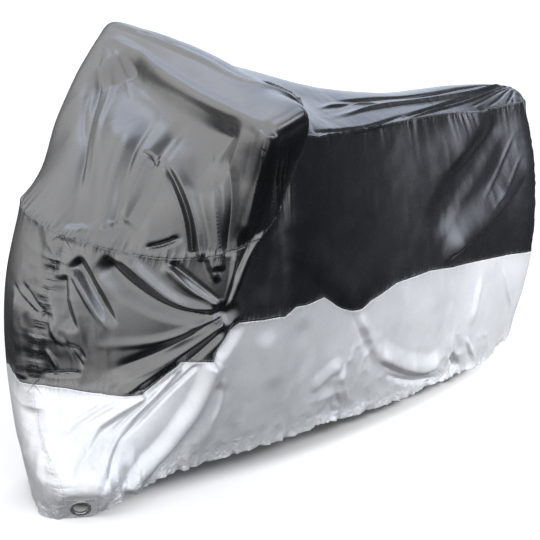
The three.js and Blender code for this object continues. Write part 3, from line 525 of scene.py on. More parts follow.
def spline(points: Array, where: Array) -> Array:
    """Smooth curve through points, at positions counted in points.

    Each span is a cubic Hermite curve. The slope at a point leans towards the nearer
    neighbour: slope = (before * long_after + after * long_before) / (both).

    Args:
        points: Array of n points, with any shape after the first axis.
        where: Positions from 0 to n - 1.

    Returns:
        One point, or row of points, for each position.
    """
    step = points[1:] - points[:-1]
    long = np.linalg.norm(step, axis=-1, keepdims=True) + 1e-9
    slope = step / long
    inner = (slope[:-1] * long[1:] + slope[1:] * long[:-1]) / (long[:-1] + long[1:])
    tangent = np.concatenate([slope[:1], inner, slope[-1:]])
    where = np.clip(np.atleast_1d(where), 0.0, len(points) - 1 - 1e-12)
    i = where.astype(int)
    s = (where - i).reshape((-1,) + (1,) * (points.ndim - 1))
    near = points[i] * (2 * s**3 - 3 * s**2 + 1) + tangent[i] * long[i] * (s**3 - 2 * s**2 + s)
    far = points[i + 1] * (3 * s**2 - 2 * s**3) + tangent[i + 1] * long[i] * (s**3 - s**2)
    return near + far


def ring_spline(points: Array, where: Array) -> Array:
    """The same curve, closed on itself."""
    return spline(np.concatenate([points[-2:], points, points[:3]]), where + 2.0)


def stops(cells: Array, start: float = 0.0) -> Array:
    """Positions, in stations, of the grid lines before each next station."""
    return np.concatenate([start + i + np.arange(n) / n for i, n in enumerate(cells)])


def lattice_noise(points: Array, wave: Point | float, seed: int) -> Array:
    """Smooth random values, the same for the same place on every run.

    A lattice of random numbers from -1 to 1 repeats after NOISE_CELLS cells, and values
    between its points are eased along each axis.

    Args:
        points: Places in metres, with x, y, z on the last axis.
        wave: Size of one lattice cell in metres, for all axes or for each.
        seed: Chooses the lattice.

    Returns:
        One value for each place.
    """
    table = np.random.default_rng(seed).uniform(-1.0, 1.0, (NOISE_CELLS,) * 3)
    place = points / np.asarray(wave) + 1000.0
    low = np.floor(place).astype(int)
    part = place - low
    part = part * part * (3.0 - 2.0 * part)
    total = np.zeros(points.shape[:-1])
    for corner in np.ndindex(2, 2, 2):
        index = [(low[..., axis] + corner[axis]) % NOISE_CELLS for axis in range(3)]
        share = np.ones(points.shape[:-1])
        for axis in range(3):
            share = share * (part[..., axis] if corner[axis] else 1.0 - part[..., axis])
        total += share * table[index[0], index[1], index[2]]
    return total


class Cut(Enum):
    """What lies along one border of a panel."""

    SEAM = "seam"
    HEM = "hem"


@dataclass
class Panel:
    """A rectangular piece of the skin's grid, sewn along its borders.

    Attributes:
        name: Name of the piece, which is its solid's name too.
        ids: Skin vertex of each grid point, rows by columns.
        tight: How strongly the thread gathers the first and last row, and the first
            and last column.
        bottom: What lies along the first row.
    """

    name: str
    ids: Array
    tight: tuple[float, float, float, float]
    bottom: Cut = Cut.SEAM

    def lengths(self, points: Array) -> tuple[Array, Array]:
        """Distances over the cloth along its columns and along its rows.

        Args:
            points: Positions of the skin's vertices.

        Returns:
            Distance from the first row, and from the first column, in metres.
        """
        grid = points[self.ids]
        up = np.linalg.norm(np.diff(grid, axis=0), axis=-1)
        along = np.linalg.norm(np.diff(grid, axis=1), axis=-1)
        rise = np.concatenate([np.zeros((1, grid.shape[1])), np.cumsum(up, axis=0)])
        run = np.concatenate([np.zeros((grid.shape[0], 1)), np.cumsum(along, axis=1)], axis=1)
        return rise, run

    def borders(self, points: Array) -> list[tuple[Cut, float, Array, Array, Array]]:
        """Each border with the distance to it, the place on it and the run along it.

        Args:
            points: Positions of the skin's vertices.

        Returns:
            For each border its kind, tightness, and grids of the distance to it, of the
            nearest point on it and of the run along it.
        """
        grid = points[self.ids]
        rise, run = self.lengths(points)
        rows = np.ones((grid.shape[0], 1, 1))
        columns = np.ones((1, grid.shape[1], 1))
        flat = rows[..., 0]
        first_row, last_row, first_column, last_column = self.tight
        down, back = rise[-1:] - rise, run[:, -1:] - run
        found = [
            (self.bottom, first_row, rise, rows * grid[:1], flat * run[:1]),
            (Cut.SEAM, last_row, down, rows * grid[-1:], flat * run[-1:]),
            (Cut.SEAM, first_column, run, columns * grid[:, :1], columns[..., 0] * rise[:, :1]),
            (Cut.SEAM, last_column, back, columns * grid[:, -1:], columns[..., 0] * rise[:, -1:]),
        ]
        return [border for border in found if border[1] > 0]


@dataclass
class Skin:
    """The whole skin of the cover, from its stations to its folds.

    Attributes:
        fineness: Grid cells for each cell of the stations' table.
        names: Names of the stations.
        cells: Grid cells from each station to the next.
        first: Grid column of each station.
        side_ids: Vertex of each grid point of the sides, from the hem up.
        points: Positions of the welded vertices, in metres from the ground point.
        normals: Outward directions at the vertices.
        panels: The pieces that the skin is cut into.
    """

    fineness: int
    names: list[str] = field(init=False)
    cells: Array = field(init=False)
    first: Array = field(init=False)
    side_ids: Array = field(init=False)
    points: Array = field(init=False)
    normals: Array = field(init=False)
    panels: dict[str, Panel] = field(init=False, default_factory=dict)

    def __post_init__(self) -> None:
        """Build the grids, weld them and name the panels."""
        self.names = [row.name for row in STATIONS]
        self.cells = np.array([row.cells for row in STATIONS]) * self.fineness
        self.first = np.concatenate([[0], np.cumsum(self.cells)])
        sides, shoulder = self._sides()
        hood, over = self._hood(shoulder)
        top = self._top(shoulder, over)
        grids = [sides, hood, top]
        loose = np.concatenate([grid.reshape(-1, 3) for grid in grids])
        _, first, inverse = np.unique(
            np.round(loose, 5), axis=0, return_index=True, return_inverse=True
        )
        self.points = loose[first]
        ids = np.split(inverse.reshape(-1), np.cumsum([grid[..., 0].size for grid in grids])[:-1])
        self.side_ids, hood_ids, top_ids = (
            part.reshape(grid.shape[:2]) for part, grid in zip(ids, grids)
        )
        self.panels = self._cut(hood_ids, top_ids)
        self.refresh()

    def _column(self, name: str) -> int:
        """Grid column of a station."""
        return int(self.first[self.names.index(name)])

    def _table(self, key: str) -> Array:
        """One column of the stations' table, in metres."""
        return np.array([getattr(row, key) for row in STATIONS], float) * MM

    def _sides(self) -> tuple[Array, Array]:
        """Sides: a grid from the hem up to the shoulder line, closed round the cover.

        Closed splines run through the stations' shoulder, seam and hem points. Each
        column is a spline through its hem, seam and shoulder, and the middles between
        them moved outward by the swell. A parabola raises the shoulder over the tail.

        Returns:
            The grid, rows by columns, and its last row.
        """
        where = stops(self.cells)
        shoulder = ring_spline(self._table("shoulder"), where)
        seam = ring_spline(self._table("seam"), where)
        hem = ring_spline(self._table("hem"), where)
        swell = ring_spline(np.pad(self._table("swell"), ((0, 0), (0, 1))), where)
        tail = where - self.names.index("tailR")
        crown = np.where((tail > 0) & (tail < 1), 4.0 * tail * (1.0 - tail), 0.0)
        shoulder[:, 2] += TAIL_CROWN * MM * crown
        along = np.roll(seam, -1, 0) - np.roll(seam, 1, 0)
        along[:, 2] = 0.0
        along = unit(along)
        out = np.stack([-along[:, 1], along[:, 0], np.zeros(len(along))], axis=1)
        posts = np.stack(
            [
                hem,
                (seam + hem) / 2 + out * swell[:, 1:2],
                seam,
                (seam + shoulder) / 2 + out * swell[:, :1],
                shoulder,
            ]
        )
        ride = np.interp(where, [row.at for row in SEAM_RIDE], [row.rise for row in SEAM_RIDE])
        turn = 2.0 + ride / RIDE_SCALE
        low, high = LOW_ROWS * self.fineness, HIGH_ROWS * self.fineness
        grid = np.empty((low + high + 1, len(where), 3))
        for column in range(len(where)):
            below = turn[column] * np.arange(low) / low
            above = turn[column] + (4.0 - turn[column]) * np.arange(high + 1) / high
            grid[:, column] = spline(posts[:, column], np.concatenate([below, above]))
        return grid, shoulder

    def _hood(self, shoulder: Array) -> tuple[Array, Array]:
        """Hood: a grid from the front seam, over the bar, to the rear seam.

        Each column is a spline through the front seam, one line across the face, two
        across the bar and the rear seam.

        Args:
            shoulder: Top row of the sides.

        Returns:
            The grid, and the part of its rear seam that lies on the top panel.
        """
        far, hip_near = self._column("cornerR"), self._column("hipL")
        front = shoulder[: far + 1]
        near_climb = np.concatenate([shoulder[:1], shoulder[hip_near:][::-1]])
        far_climb = shoulder[far : self._column("hipR") + 1][::-1]
        points = {row.name: row for row in STATIONS}
        ends = [points["hipL"].shoulder, points["hipR"].shoulder]
        over_points = np.array([ends[0], *(row.seam for row in BAR[1:6]), ends[1]], float) * MM
        over = spline(over_points, np.append(stops(self.cells[1:7]), 6.0))
        rear = np.concatenate([near_climb[:-1], over, far_climb[1:]])
        where = np.append(stops(self.cells[:8]), 8.0)
        corners = [points["cornerL"].shoulder, points["cornerR"].shoulder]
        lines = []
        for key in ("face", "bar_front", "bar_rear"):
            line = [corners[0], *(getattr(row, key) for row in BAR), corners[1]]
            lines.append(spline(np.array(line, float) * MM, where))
        first, second, third = (rows * self.fineness for rows in HOOD_ROWS)
        climb = np.concatenate(
            [
                2.0 * np.arange(first) / first,
                2.0 + np.arange(second) / second,
                3.0 + np.arange(third + 1) / third,
            ]
        )
        return spline(np.stack([front, *lines, rear]), climb), over

    def _top(self, shoulder: Array, over: Array) -> Array:
        """Top: a grid from the hood seam to the tail, blended onto both edges.

        Each rib is a spline over the near shoulder, the ridge and the far shoulder, with
        5 mm more at the middles between them. At either end the ribs are pulled onto the
        seam there, by the square of a share that dies away over 25% or 15% of the length.

        Args:
            shoulder: Top row of the sides.
            over: The seam that it shares with the hood.

        Returns:
            The grid, along the cover by across it.
        """
        tail_near, tail_far = self._column("tailL"), self._column("tailR")
        hip_near, hip_far = self._column("hipL"), self._column("hipR")
        near = shoulder[tail_near : hip_near + 1][::-1]
        far = shoulder[hip_far : tail_far + 1]
        tail = shoulder[tail_far : tail_near + 1][::-1]
        ridge = spline(np.array(RIDGE, float) * MM, np.append(stops(self.cells[9:14]), 5.0))
        arch = np.array([0.0, 0.0, 5.0 * MM])
        ribs = np.stack([near, (near + ridge) / 2 + arch, ridge, (far + ridge) / 2 + arch, far])
        share = np.linspace(0.0, 4.0, len(over))
        grid = spline(ribs, share).transpose(1, 0, 2)
        along = np.linspace(0.0, 1.0, len(grid))[:, None, None]
        pull_first = np.maximum(0.0, 1.0 - along / 0.25) ** 2
        pull_last = np.maximum(0.0, 1.0 - (1.0 - along) / 0.15) ** 2
        return grid + (over - grid[0]) * pull_first + (tail - grid[-1]) * pull_last

    def _cut(self, hood_ids: Array, top_ids: Array) -> dict[str, Panel]:
        """Cut the welded grids into panels along the seams.

        Args:
            hood_ids: Vertex of each grid point of the hood.
            top_ids: Vertex of each grid point of the top.

        Returns:
            The panels by name.
        """
        low = LOW_ROWS * self.fineness
        nose, rear = self._column("nose"), self._column("tailL")
        ring = np.arange(self.side_ids.shape[1] + nose + 1) % self.side_ids.shape[1]
        left, right = ring[rear:], np.arange(nose, rear + 1)
        skirts = self.side_ids[: low + 1]
        return {
            panel.name: panel
            for panel in (
                Panel("hood", hood_ids, (1.0, 0.8, 0.0, 0.0)),
                Panel("top_panel", top_ids[:, ::-1], (0.8, 0.6, 0.3, 0.3)),
                Panel("side_left", self.side_ids[low:, left], (0.15, 0.35, 0.5, 1.0)),
                Panel("side_right", self.side_ids[low:, right], (0.15, 0.35, 1.0, 0.5)),
                Panel("skirt_left", skirts[:, left], (1.0, 0.15, 0.6, 0.6), Cut.HEM),
                Panel("skirt_right", skirts[:, right], (1.0, 0.15, 0.6, 0.6), Cut.HEM),
            )
        }

    def refresh(self) -> None:
        """Work out the outward direction at every vertex from the cells around it."""
        total = np.zeros_like(self.points)
        for panel in self.panels.values():
            grid = self.points[panel.ids]
            across = grid[1:, 1:] - grid[:-1, :-1]
            other = grid[:-1, 1:] - grid[1:, :-1]
            normal = np.cross(across, other)
            for rows, columns in ((0, 0), (0, 1), (1, 0), (1, 1)):
                high, wide = rows + normal.shape[0], columns + normal.shape[1]
                corner = panel.ids[rows:high, columns:wide]
                np.add.at(total, corner.reshape(-1), normal.reshape(-1, 3))
        self.normals = unit(total)

    def push(self, amount: Array) -> None:
        """Move every vertex outward by its amount, in metres."""
        self.points = self.points + self.normals * amount[:, None]
        self.refresh()

    def fold(self, folds: tuple[Fold, ...]) -> None:
        """Push the skin along every fold.

        The push is depth times a shape of the rounded distance from the run over the
        half width on that side: a sharp fall over a short side, a smooth one over a
        broad side. The depth fades at both ends of the run.

        Args:
            folds: The folds' table.
        """
        amount = np.zeros(len(self.points))
        for row in folds:
            amount += self._fold(row)
        self.push(amount)

    def _fold(self, row: Fold, steps: int = 24) -> Array:
        """The push of one fold at every vertex.

        Args:
            row: Row of the folds' table.
            steps: Straight steps that the run is split into.

        Returns:
            The outward push in metres.
        """
        amount = np.zeros(len(self.points))
        run = spline(
            np.array(row.points, float) * MM, np.linspace(0.0, len(row.points) - 1, steps + 1)
        )
        reach = max(row.left, row.right) * max(1.0, row.grow) * MM
        above = self.points > run.min(0) - reach
        below = self.points < run.max(0) + reach
        index = np.flatnonzero(np.all(above & below, axis=1))
        if not len(index):
            return amount
        place, normal = self.points[index], self.normals[index]
        edge = run[1:] - run[:-1]
        long = np.linalg.norm(edge, axis=1)
        share = np.einsum("psk,sk->ps", place[:, None] - run[None, :-1], edge) / long**2
        share = np.clip(share, 0.0, 1.0)
        foot = run[None, :-1] + share[..., None] * edge[None]
        gap = np.linalg.norm(place[:, None] - foot, axis=2)
        best = gap.argmin(axis=1)
        pick = np.arange(len(index))
        gap, foot, share = gap[pick, best], foot[pick, best], share[pick, best]
        walked = np.concatenate([[0.0], np.cumsum(long)])
        along = (walked[best] + share * long[best]) / walked[-1]
        left = np.sum((place - foot) * np.cross(normal, edge[best]), axis=1) > 0
        wide = np.where(left, row.left, row.right) * MM * (1.0 + (row.grow - 1.0) * along)
        crown = row.crown * MM
        away = (np.hypot(gap, crown) - crown) / wide
        left_over = np.clip(1.0 - away, 0.0, 1.0)
        broad = ease((wide / MM - SHARP_SIDE) / SHARP_SIDE)
        shape = (1.0 - broad) * left_over**SHARPNESS + broad * ease(left_over)
        depth = (row.depth[0] + (row.depth[1] - row.depth[0]) * along) * MM
        for end, position in zip(row.fade, (along, 1.0 - along)):
            if end > 0:
                depth = depth * ease(position / end)
        amount[index] = depth * shape
        return amount

    def gather(self, kind: Cut, height: float, reach: float, wave: float, seed: int) -> None:
        """Pucker the cloth beside its seams or its hem.

        Every line that runs up to a border is raised by one random number, which
        depends on where it meets that border, and the rise dies away from it.

        Args:
            kind: Borders that are puckered.
            height: Greatest rise in metres.
            reach: Distance in metres over which the rise falls to a third.
            wave: Length in metres of one pucker along the border.
            seed: Chooses the puckers.
        """
        total = np.zeros(len(self.points))
        count = np.zeros(len(self.points))
        for panel in self.panels.values():
            rise = np.zeros(panel.ids.shape)
            for cut, tight, distance, place, _ in panel.borders(self.points):
                if cut is kind:
                    pucker = lattice_noise(place, wave, seed)
                    rise += tight * np.exp(-distance / reach) * (1.0 - 3.0 * np.abs(pucker))
            np.add.at(total, panel.ids.reshape(-1), rise.reshape(-1))
            np.add.at(count, panel.ids.reshape(-1), 1.0)
        self.push(height * total / np.maximum(count, 1.0))

    def crumple(self, height: float, wave: Point, seed: int, share: Array | float = 1.0) -> None:
        """Add creases with sharp ridges and smooth cloth between them.

        The rise is height * (0.5 - |noise|), times the share of each vertex.

        Args:
            height: Half height of the creases in metres.
            wave: Size of the creases in metres, along each axis.
            seed: Chooses the creases.
            share: Share of the height at each vertex.
        """
        self.push(height * share * (0.5 - np.abs(lattice_noise(self.points, wave, seed))))

    def crush(self, place: Crush) -> None:
        """Crumple the cloth round one place, in coarse and in fine creases.

        Args:
            place: Row of the table of crushed places.
        """
        away = np.linalg.norm(self.points - np.array(place.at) * MM, axis=1)
        share = ease(CRUSH_STEEPNESS * (1.0 - away / (place.reach * MM)))
        for seed, part in ((place.seed, 1.0), (place.seed + 1, FINE_CREASES)):
            wide = place.wave * part * MM
            wave = (wide, wide, CRUSH_STRETCH * wide)
            self.crumple(place.height * part * MM, wave, seed, share)


@dataclass(frozen=True)
class Eyelet:
    """The pressed ring near the front hem, and the flat patch that holds it.

    Lengths are millimetres. Columns and rows count cells of the stations' table.

    Attributes:
        at: Middle of the ring.
        azimuth: Direction the ring faces, in degrees from straight ahead.
        tilt: Angle of its axis above the horizon, in degrees.
        hole: Radius of the hole.
        rim: Radius of the flange.
        thick: Depth of the ring through the cloth.
        first, last, rows: Cells of the patch.
        middle: Column on which the ring sits.
        column, half, rise: Size of a column, of half the patch and of the hem's rise.
        lip: Height of the rounded flange.
        collar: Thickness of the wall round the hole.
        stand_off: Gap between the cloth and the front flange.
        margin: How much larger than the ring's the radius of the cloth's hole is.
    """

    at: Point = (980.0, 182.0, 32.0)
    azimuth: float = 55.0
    tilt: float = -25.0
    hole: float = 18.0
    rim: float = 27.0
    thick: float = 7.8
    first: int = 17
    last: int = 21
    rows: int = 2
    middle: float = 19.1
    column: float = 21.5
    half: float = 34.0
    rise: float = 12.0
    lip: float = 1.8
    collar: float = 1.7
    stand_off: float = 0.3
    margin: float = 2.0

    def axes(self) -> tuple[Array, Array, Array]:
        """Unit vectors of the ring.

        Returns:
            Its axis, the way along the hem and the way up the cloth.
        """
        azimuth, tilt = math.radians(self.azimuth), math.radians(self.tilt)
        level = math.cos(tilt)
        axis = np.array([level * math.cos(azimuth), level * math.sin(azimuth), math.sin(tilt)])
        ahead = np.array([math.sin(azimuth), -math.cos(azimuth), 0.0])
        return axis, ahead, np.cross(ahead, axis)

    def place(self, columns: Array, rows: Array) -> Array:
        """Flat place of each grid point.

        The way along is the column's size times the columns from the middle. The height
        is half the patch times the rows from its middle, and more where the hem rises.

        Args:
            columns: Columns, in cells of the stations' table.
            rows: Rows, in the same cells.

        Returns:
            Places in metres from the ground point.
        """
        _, ahead, up = self.axes()
        along = self.column * (columns - self.middle)
        hem_rise = self.rise * np.maximum(0.0, self.first + 1 - columns)
        high = self.half * (rows - 1.0) + hem_rise * (1.0 - rows / 2.0)
        flat = along[..., None] * ahead + high[..., None] * up
        return (np.array(self.at) + flat) * MM

    def flatten(self, skin: Skin, reach: tuple[float, float]) -> None:
        """Draw the skin onto the flat patch, less and less away from it.

        Args:
            skin: The skin that is changed.
            reach: Columns and rows over which the pull dies away.
        """
        rows = np.arange(skin.side_ids.shape[0]) / skin.fineness
        columns = np.arange(skin.side_ids.shape[1]) / skin.fineness
        column, row = np.meshgrid(columns, rows)
        away = np.hypot(
            (column - np.clip(column, self.first, self.last)) / reach[0],
            (row - np.clip(row, 0, self.rows)) / reach[1],
        )
        share = ease(1.0 - away)
        near = share > 0
        ids = skin.side_ids[near]
        target = self.place(column[near], row[near])
        skin.points[ids] += (target - skin.points[ids]) * share[near][:, None]
        skin.refresh()


@dataclass
class ClothMesh:
    """Grid-built cloth that becomes one open sheet in the scene.

    Attributes:
        name: Name of the piece.
        points: Vertices in metres from the ground point.
        faces: Corner indices of each cell, four to a row.
        laid: Place of each vertex on the flat cloth, in metres.
        edge: Distance of each vertex from the nearest sewn border, in metres.
        run: Way along that border, in metres.
        hem: Distance from the hem, in metres, or one metre where there is none.
    """

    name: str
    points: Array
    faces: Array
    laid: Array
    edge: Array
    run: Array
    hem: Array

    def build(self, finish: bpy.types.Material, slot: str) -> bpy.types.Object:
        """Make the piece, with its flat layout and distances as attributes.

        Args:
            finish: Material of the cloth.
            slot: Material slot named in the record. It is not used.

        Returns:
            The object, riding on the cover.
        """
        used, local = np.unique(self.faces, return_inverse=True)
        faces = local.reshape(self.faces.shape)
        following = np.roll(faces, -1, axis=1)
        same = faces == following
        quads = faces[~same.any(axis=1)]
        pinched = faces[same.sum(axis=1) == 1]
        keep = ~same[same.sum(axis=1) == 1]
        triangles = pinched[keep].reshape(-1, 3)
        place = self.points[used] - np.array(SUPPORT) * MM
        mesh = smooth_mesh(self.name, place, quads.tolist() + triangles.tolist(), finish)
        corners = np.empty(len(mesh.loops), np.int32)
        mesh.loops.foreach_get("vertex_index", corners)
        layer = mesh.uv_layers.new(name="flat_cloth")
        layer.uv.foreach_set("vector", self.laid[used][corners].astype(np.float32).reshape(-1))
        for label, values in (("edge", self.edge), ("run", self.run), ("hem", self.hem)):
            attribute = mesh.attributes.new(label, "FLOAT", "POINT")
            attribute.data.foreach_set("value", values[used].astype(np.float32))
        return riding_piece(self.name, mesh)


@dataclass(frozen=True)
class SheetFacts:
    """What the cutting table knows of one sheet.

    Attributes:
        piece: Name of the piece.
        flat: Width and length of the cloth it is cut from, in metres.
        area: Area of the cut, in square metres.
        rests_on: Pieces that it is sewn to or hangs from.
        slot: Material slot named in the record.
    """

    piece: str
    flat: tuple[float, float]
    area: float
    rests_on: tuple[str, ...]
    slot: str


DARK, SILVER, METAL = "dark_cloth", "silver_cloth", "eyelet_metal"

SHEETS = (
    SheetFacts("hood", (1.51, 0.80), 0.74, ("top_panel",), DARK),
    SheetFacts("top_panel", (0.68, 1.35), 0.57, ("hood",), DARK),
    SheetFacts("side_left", (0.60, 2.25), 0.97, ("hood", "top_panel"), DARK),
    SheetFacts("side_right", (0.72, 2.60), 1.31, ("hood", "top_panel"), DARK),
    SheetFacts("skirt_left", (0.46, 2.25), 0.80, ("side_left",), SILVER),
    SheetFacts("skirt_right", (0.46, 2.60), 0.95, ("side_right",), SILVER),
)


@dataclass
class Cover:
    """The whole cover: its skin, its sheets, its patch and its ring.

    Attributes:
        skin: The skin with all folds.
        eyelet: The ring and its patch.
        dark: Finish of the upper panels.
        silver: Finish of the skirt.
        metal: Finish of the ring.
        hem_roll: Radius to which the hem is turned, in metres.
        hem_turned: Height of the turned cloth behind the hem, in metres.
        hem_rows: Grid rows of the turned cloth, of which 5 are the turn itself.
    """

    skin: Skin
    eyelet: Eyelet
    dark: bpy.types.Material
    silver: bpy.types.Material
    metal: bpy.types.Material
    hem_roll: float = 1.8 * MM
    hem_turned: float = 22.0 * MM
    hem_rows: int = 11

    def drape(self) -> None:
        """Fold, pucker and crease the skin, and draw it flat behind the ring."""
        skin = self.skin
        skin.fold(FOLDS)
        self.eyelet.flatten(skin, (5.0, 4.0))
        skin.crumple(3.0 * MM, (0.16, 0.16, 0.28), 11)
        skin.crumple(0.7 * MM, (0.05, 0.05, 0.09), 12)
        for place in CRUSHED:
            skin.crush(place)
        skin.gather(Cut.SEAM, 3.0 * MM, 0.040, 0.030, 21)
        skin.gather(Cut.SEAM, 3.5 * MM, 0.014, 0.014, 22)
        skin.gather(Cut.HEM, 5.0 * MM, 0.060, 0.045, 31)
        skin.gather(Cut.HEM, 3.5 * MM, 0.020, 0.018, 32)
        self.eyelet.flatten(skin, (1.0, 1.0))

    def sheet_mesh(self, panel: Panel) -> ClothMesh:
        """Turn one panel of the skin into cloth, with its hem turned under.

        The flat place of a point is its distance along its row and up its column.
        Grid points that fall together share a vertex.

        Args:
            panel: The panel.

        Returns:
            Its cloth.
        """
        points = self.skin.points
        rise, run = panel.lengths(points)
        edge = np.full(panel.ids.shape, 9.0)
        along = np.zeros(panel.ids.shape)
        for cut, _, distance, _, way in panel.borders(points):
            if cut is Cut.SEAM:
                along = np.where(distance < edge, way, along)
                edge = np.minimum(distance, edge)
        hem = rise if panel.bottom is Cut.HEM else np.ones(panel.ids.shape)
        place = points[panel.ids]
        laid = np.stack([run, rise], axis=2)
        if panel.bottom is Cut.HEM:
            place, laid, edge, along, hem = self._turn_under(panel, place, laid, edge, along, hem)
        ids = grid_ids(place)
        same = np.all(place[:, 1:] == place[:, :-1], axis=2)
        for column in np.flatnonzero(same.all(axis=0)):
            ids[:, column + 1] = ids[:, column]
        pinched = np.all(place == place[:1], axis=(0, 2))
        ids[:, pinched] = ids[:1, pinched]
        faces = grid_cells(ids)
        if panel.name == "skirt_left":
            keep = np.ones(faces.shape[:2], bool)
            wide = (self.eyelet.last - self.eyelet.first) * self.skin.fineness
            high = self.eyelet.rows * self.skin.fineness + self.hem_rows
            keep[:high, -wide:] = False
            faces = faces[keep]
        return ClothMesh(
            panel.name + "_cloth",
            place.reshape(-1, 3),
            faces.reshape(-1, 4),
            laid.reshape(-1, 2),
            edge.reshape(-1),
            along.reshape(-1),
            hem.reshape(-1),
        )

    def _turn_under(
        self, panel: Panel, place: Array, laid: Array, edge: Array, along: Array, hem: Array
    ) -> tuple[Array, Array, Array, Array, Array]:
        """Add the rows of the turned hem before the first row.

        The cloth turns through half a circle towards the inside and runs back up
        behind itself.

        Args:
            panel: The skirt panel.
            place: Its grid of points.
            laid: Its grid of flat places.
            edge: Distances from its seams.
            along: Ways along its seams.
            hem: Distances from its hem.

        Returns:
            The same five grids with the turned rows first.
        """
        down = unit(place[0] - place[1])
        normal = self.skin.normals[panel.ids[0]]
        normal = unit(normal - down * np.sum(normal * down, axis=1, keepdims=True))
        roll = self.hem_roll
        angle = np.linspace(0.0, math.pi, 6)[1:]
        climb = np.linspace(0.0, self.hem_turned, self.hem_rows - len(angle) + 1)[1:]
        fall = np.concatenate([roll * np.sin(angle), -climb])
        depth = np.concatenate([roll * (1.0 - np.cos(angle)), np.full(len(climb), 2.0 * roll)])
        walked = np.concatenate([roll * angle, roll * math.pi + climb])
        fall, depth, walked = fall[::-1], depth[::-1], walked[::-1]
        rows = place[:1] + down[None] * fall[:, None, None] - normal[None] * depth[:, None, None]
        flat = np.stack(np.broadcast_arrays(laid[:1, :, 0], -walked[:, None]), axis=2)
        count = len(walked)
        return (
            np.concatenate([rows, place]),
            np.concatenate([flat, laid]),
            np.concatenate([np.repeat(edge[:1], count, axis=0), edge]),
            np.concatenate([np.repeat(along[:1], count, axis=0), along]),
            np.concatenate([np.repeat(-walked[:, None], hem.shape[1], axis=1), hem]),
        )

    def patch_mesh(self) -> ClothMesh:
        """Cloth of the patch: a grid from its round hole to its four borders.

        Straight lines run from the hole to the points of the border, each from where the
        border's point lies as seen from the middle.

        Returns:
            The cloth of the patch.
        """
        eyelet, fineness = self.eyelet, self.skin.fineness
        low, high = eyelet.first * fineness, eyelet.last * fineness
        top = eyelet.rows * fineness
        block = self.skin.points[self.skin.side_ids[: top + 1, low : high + 1]]
        border = np.concatenate([block[0, :-1], block[:-1, -1], block[-1, :0:-1], block[:0:-1, 0]])
        border = np.concatenate([border, border[:1]])
        _, ahead, up = eyelet.axes()
        middle = np.array(eyelet.at) * MM
        offset = border - middle
        turn = np.arctan2(offset @ up, offset @ ahead)
        radius = (eyelet.hole + eyelet.margin) * MM
        circle = middle + radius * (np.cos(turn)[:, None] * ahead + np.sin(turn)[:, None] * up)
        share = np.linspace(0.0, 1.0, 2 * fineness + 1)[:, None, None]
        place = circle * (1.0 - share) + border * share
        flat = np.stack([(place - middle) @ ahead, (place - middle) @ up], axis=2)
        run = np.concatenate([[0.0], np.cumsum(np.linalg.norm(np.diff(border, axis=0), axis=1))])
        distance = np.linalg.norm(border - circle, axis=1) * (1.0 - share[..., 0])
        ids = grid_ids(place)
        ids[:, -1] = ids[:, 0]
        faces = grid_cells(ids, across_first=True)
        return ClothMesh(
            "eyelet_patch_cloth",
            place.reshape(-1, 3),
            faces.reshape(-1, 4),
            flat.reshape(-1, 2),
            distance.reshape(-1),
            np.broadcast_to(run, distance.shape).reshape(-1).copy(),
            np.ones(distance.size),
        )

    def ring(self) -> bpy.types.Object:
        """The pressed ring: a rounded profile turned about its axis.

        Both flanges rise from hole to rim as the lip times the sine of the way round
        their crown, to the power 0.7. A straight collar joins them through the cloth.

        Returns:
            The piece.
        """
        eyelet, lip = self.eyelet, self.eyelet.lip
        axis, ahead, up = eyelet.axes()
        half = eyelet.thick / 2.0
        crown = np.linspace(0.0, math.pi, 15)
        bow = (eyelet.rim - eyelet.hole) / 2.0
        out = (eyelet.rim + eyelet.hole) / 2.0 + bow * np.cos(crown)
        lift = lip * np.sin(crown) ** 0.7
        front = np.stack([out, half - lip + lift], axis=1)
        back = np.stack([out[::-1], -half + lip - lift[::-1]], axis=1)
        collar = eyelet.hole + eyelet.collar
        gap = np.array([[collar, lip - half], [collar, half - lip]])
        profile = np.concatenate([front, back, gap])
        profile = np.concatenate([profile, profile[:1]]) * MM
        turn = np.linspace(0.0, 2.0 * math.pi, 97)
        spoke = np.cos(turn)[:, None] * ahead + np.sin(turn)[:, None] * up
        middle = np.array(eyelet.at) + axis * (eyelet.stand_off + lip - half) - np.array(SUPPORT)
        place = middle * MM + profile[:, None, :1] * spoke[None] + profile[:, None, 1:] * axis
        ids = grid_ids(place)
        ids[:, -1] = ids[:, 0]
        ids[-1] = ids[0]
        faces = grid_cells(ids, across_first=True)
        used, local = np.unique(faces, return_inverse=True)
        faces = local.reshape(-1, 4).tolist()
        mesh = smooth_mesh("eyelet", place.reshape(-1, 3)[used], faces, self.metal)
        piece = riding_piece("eyelet_ring", mesh)
        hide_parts("eyelet")
        return piece

    def build(self) -> None:
        self.drape()
        for facts in SHEETS:
            finish = self.dark if facts.slot == DARK else self.silver
            piece = self.sheet_mesh(self.skin.panels[facts.piece]).build(finish, facts.slot)
            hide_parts(facts.piece)
        patch = self.patch_mesh().build(self.silver, SILVER)
        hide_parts("eyelet_patch")
        ring = self.ring()


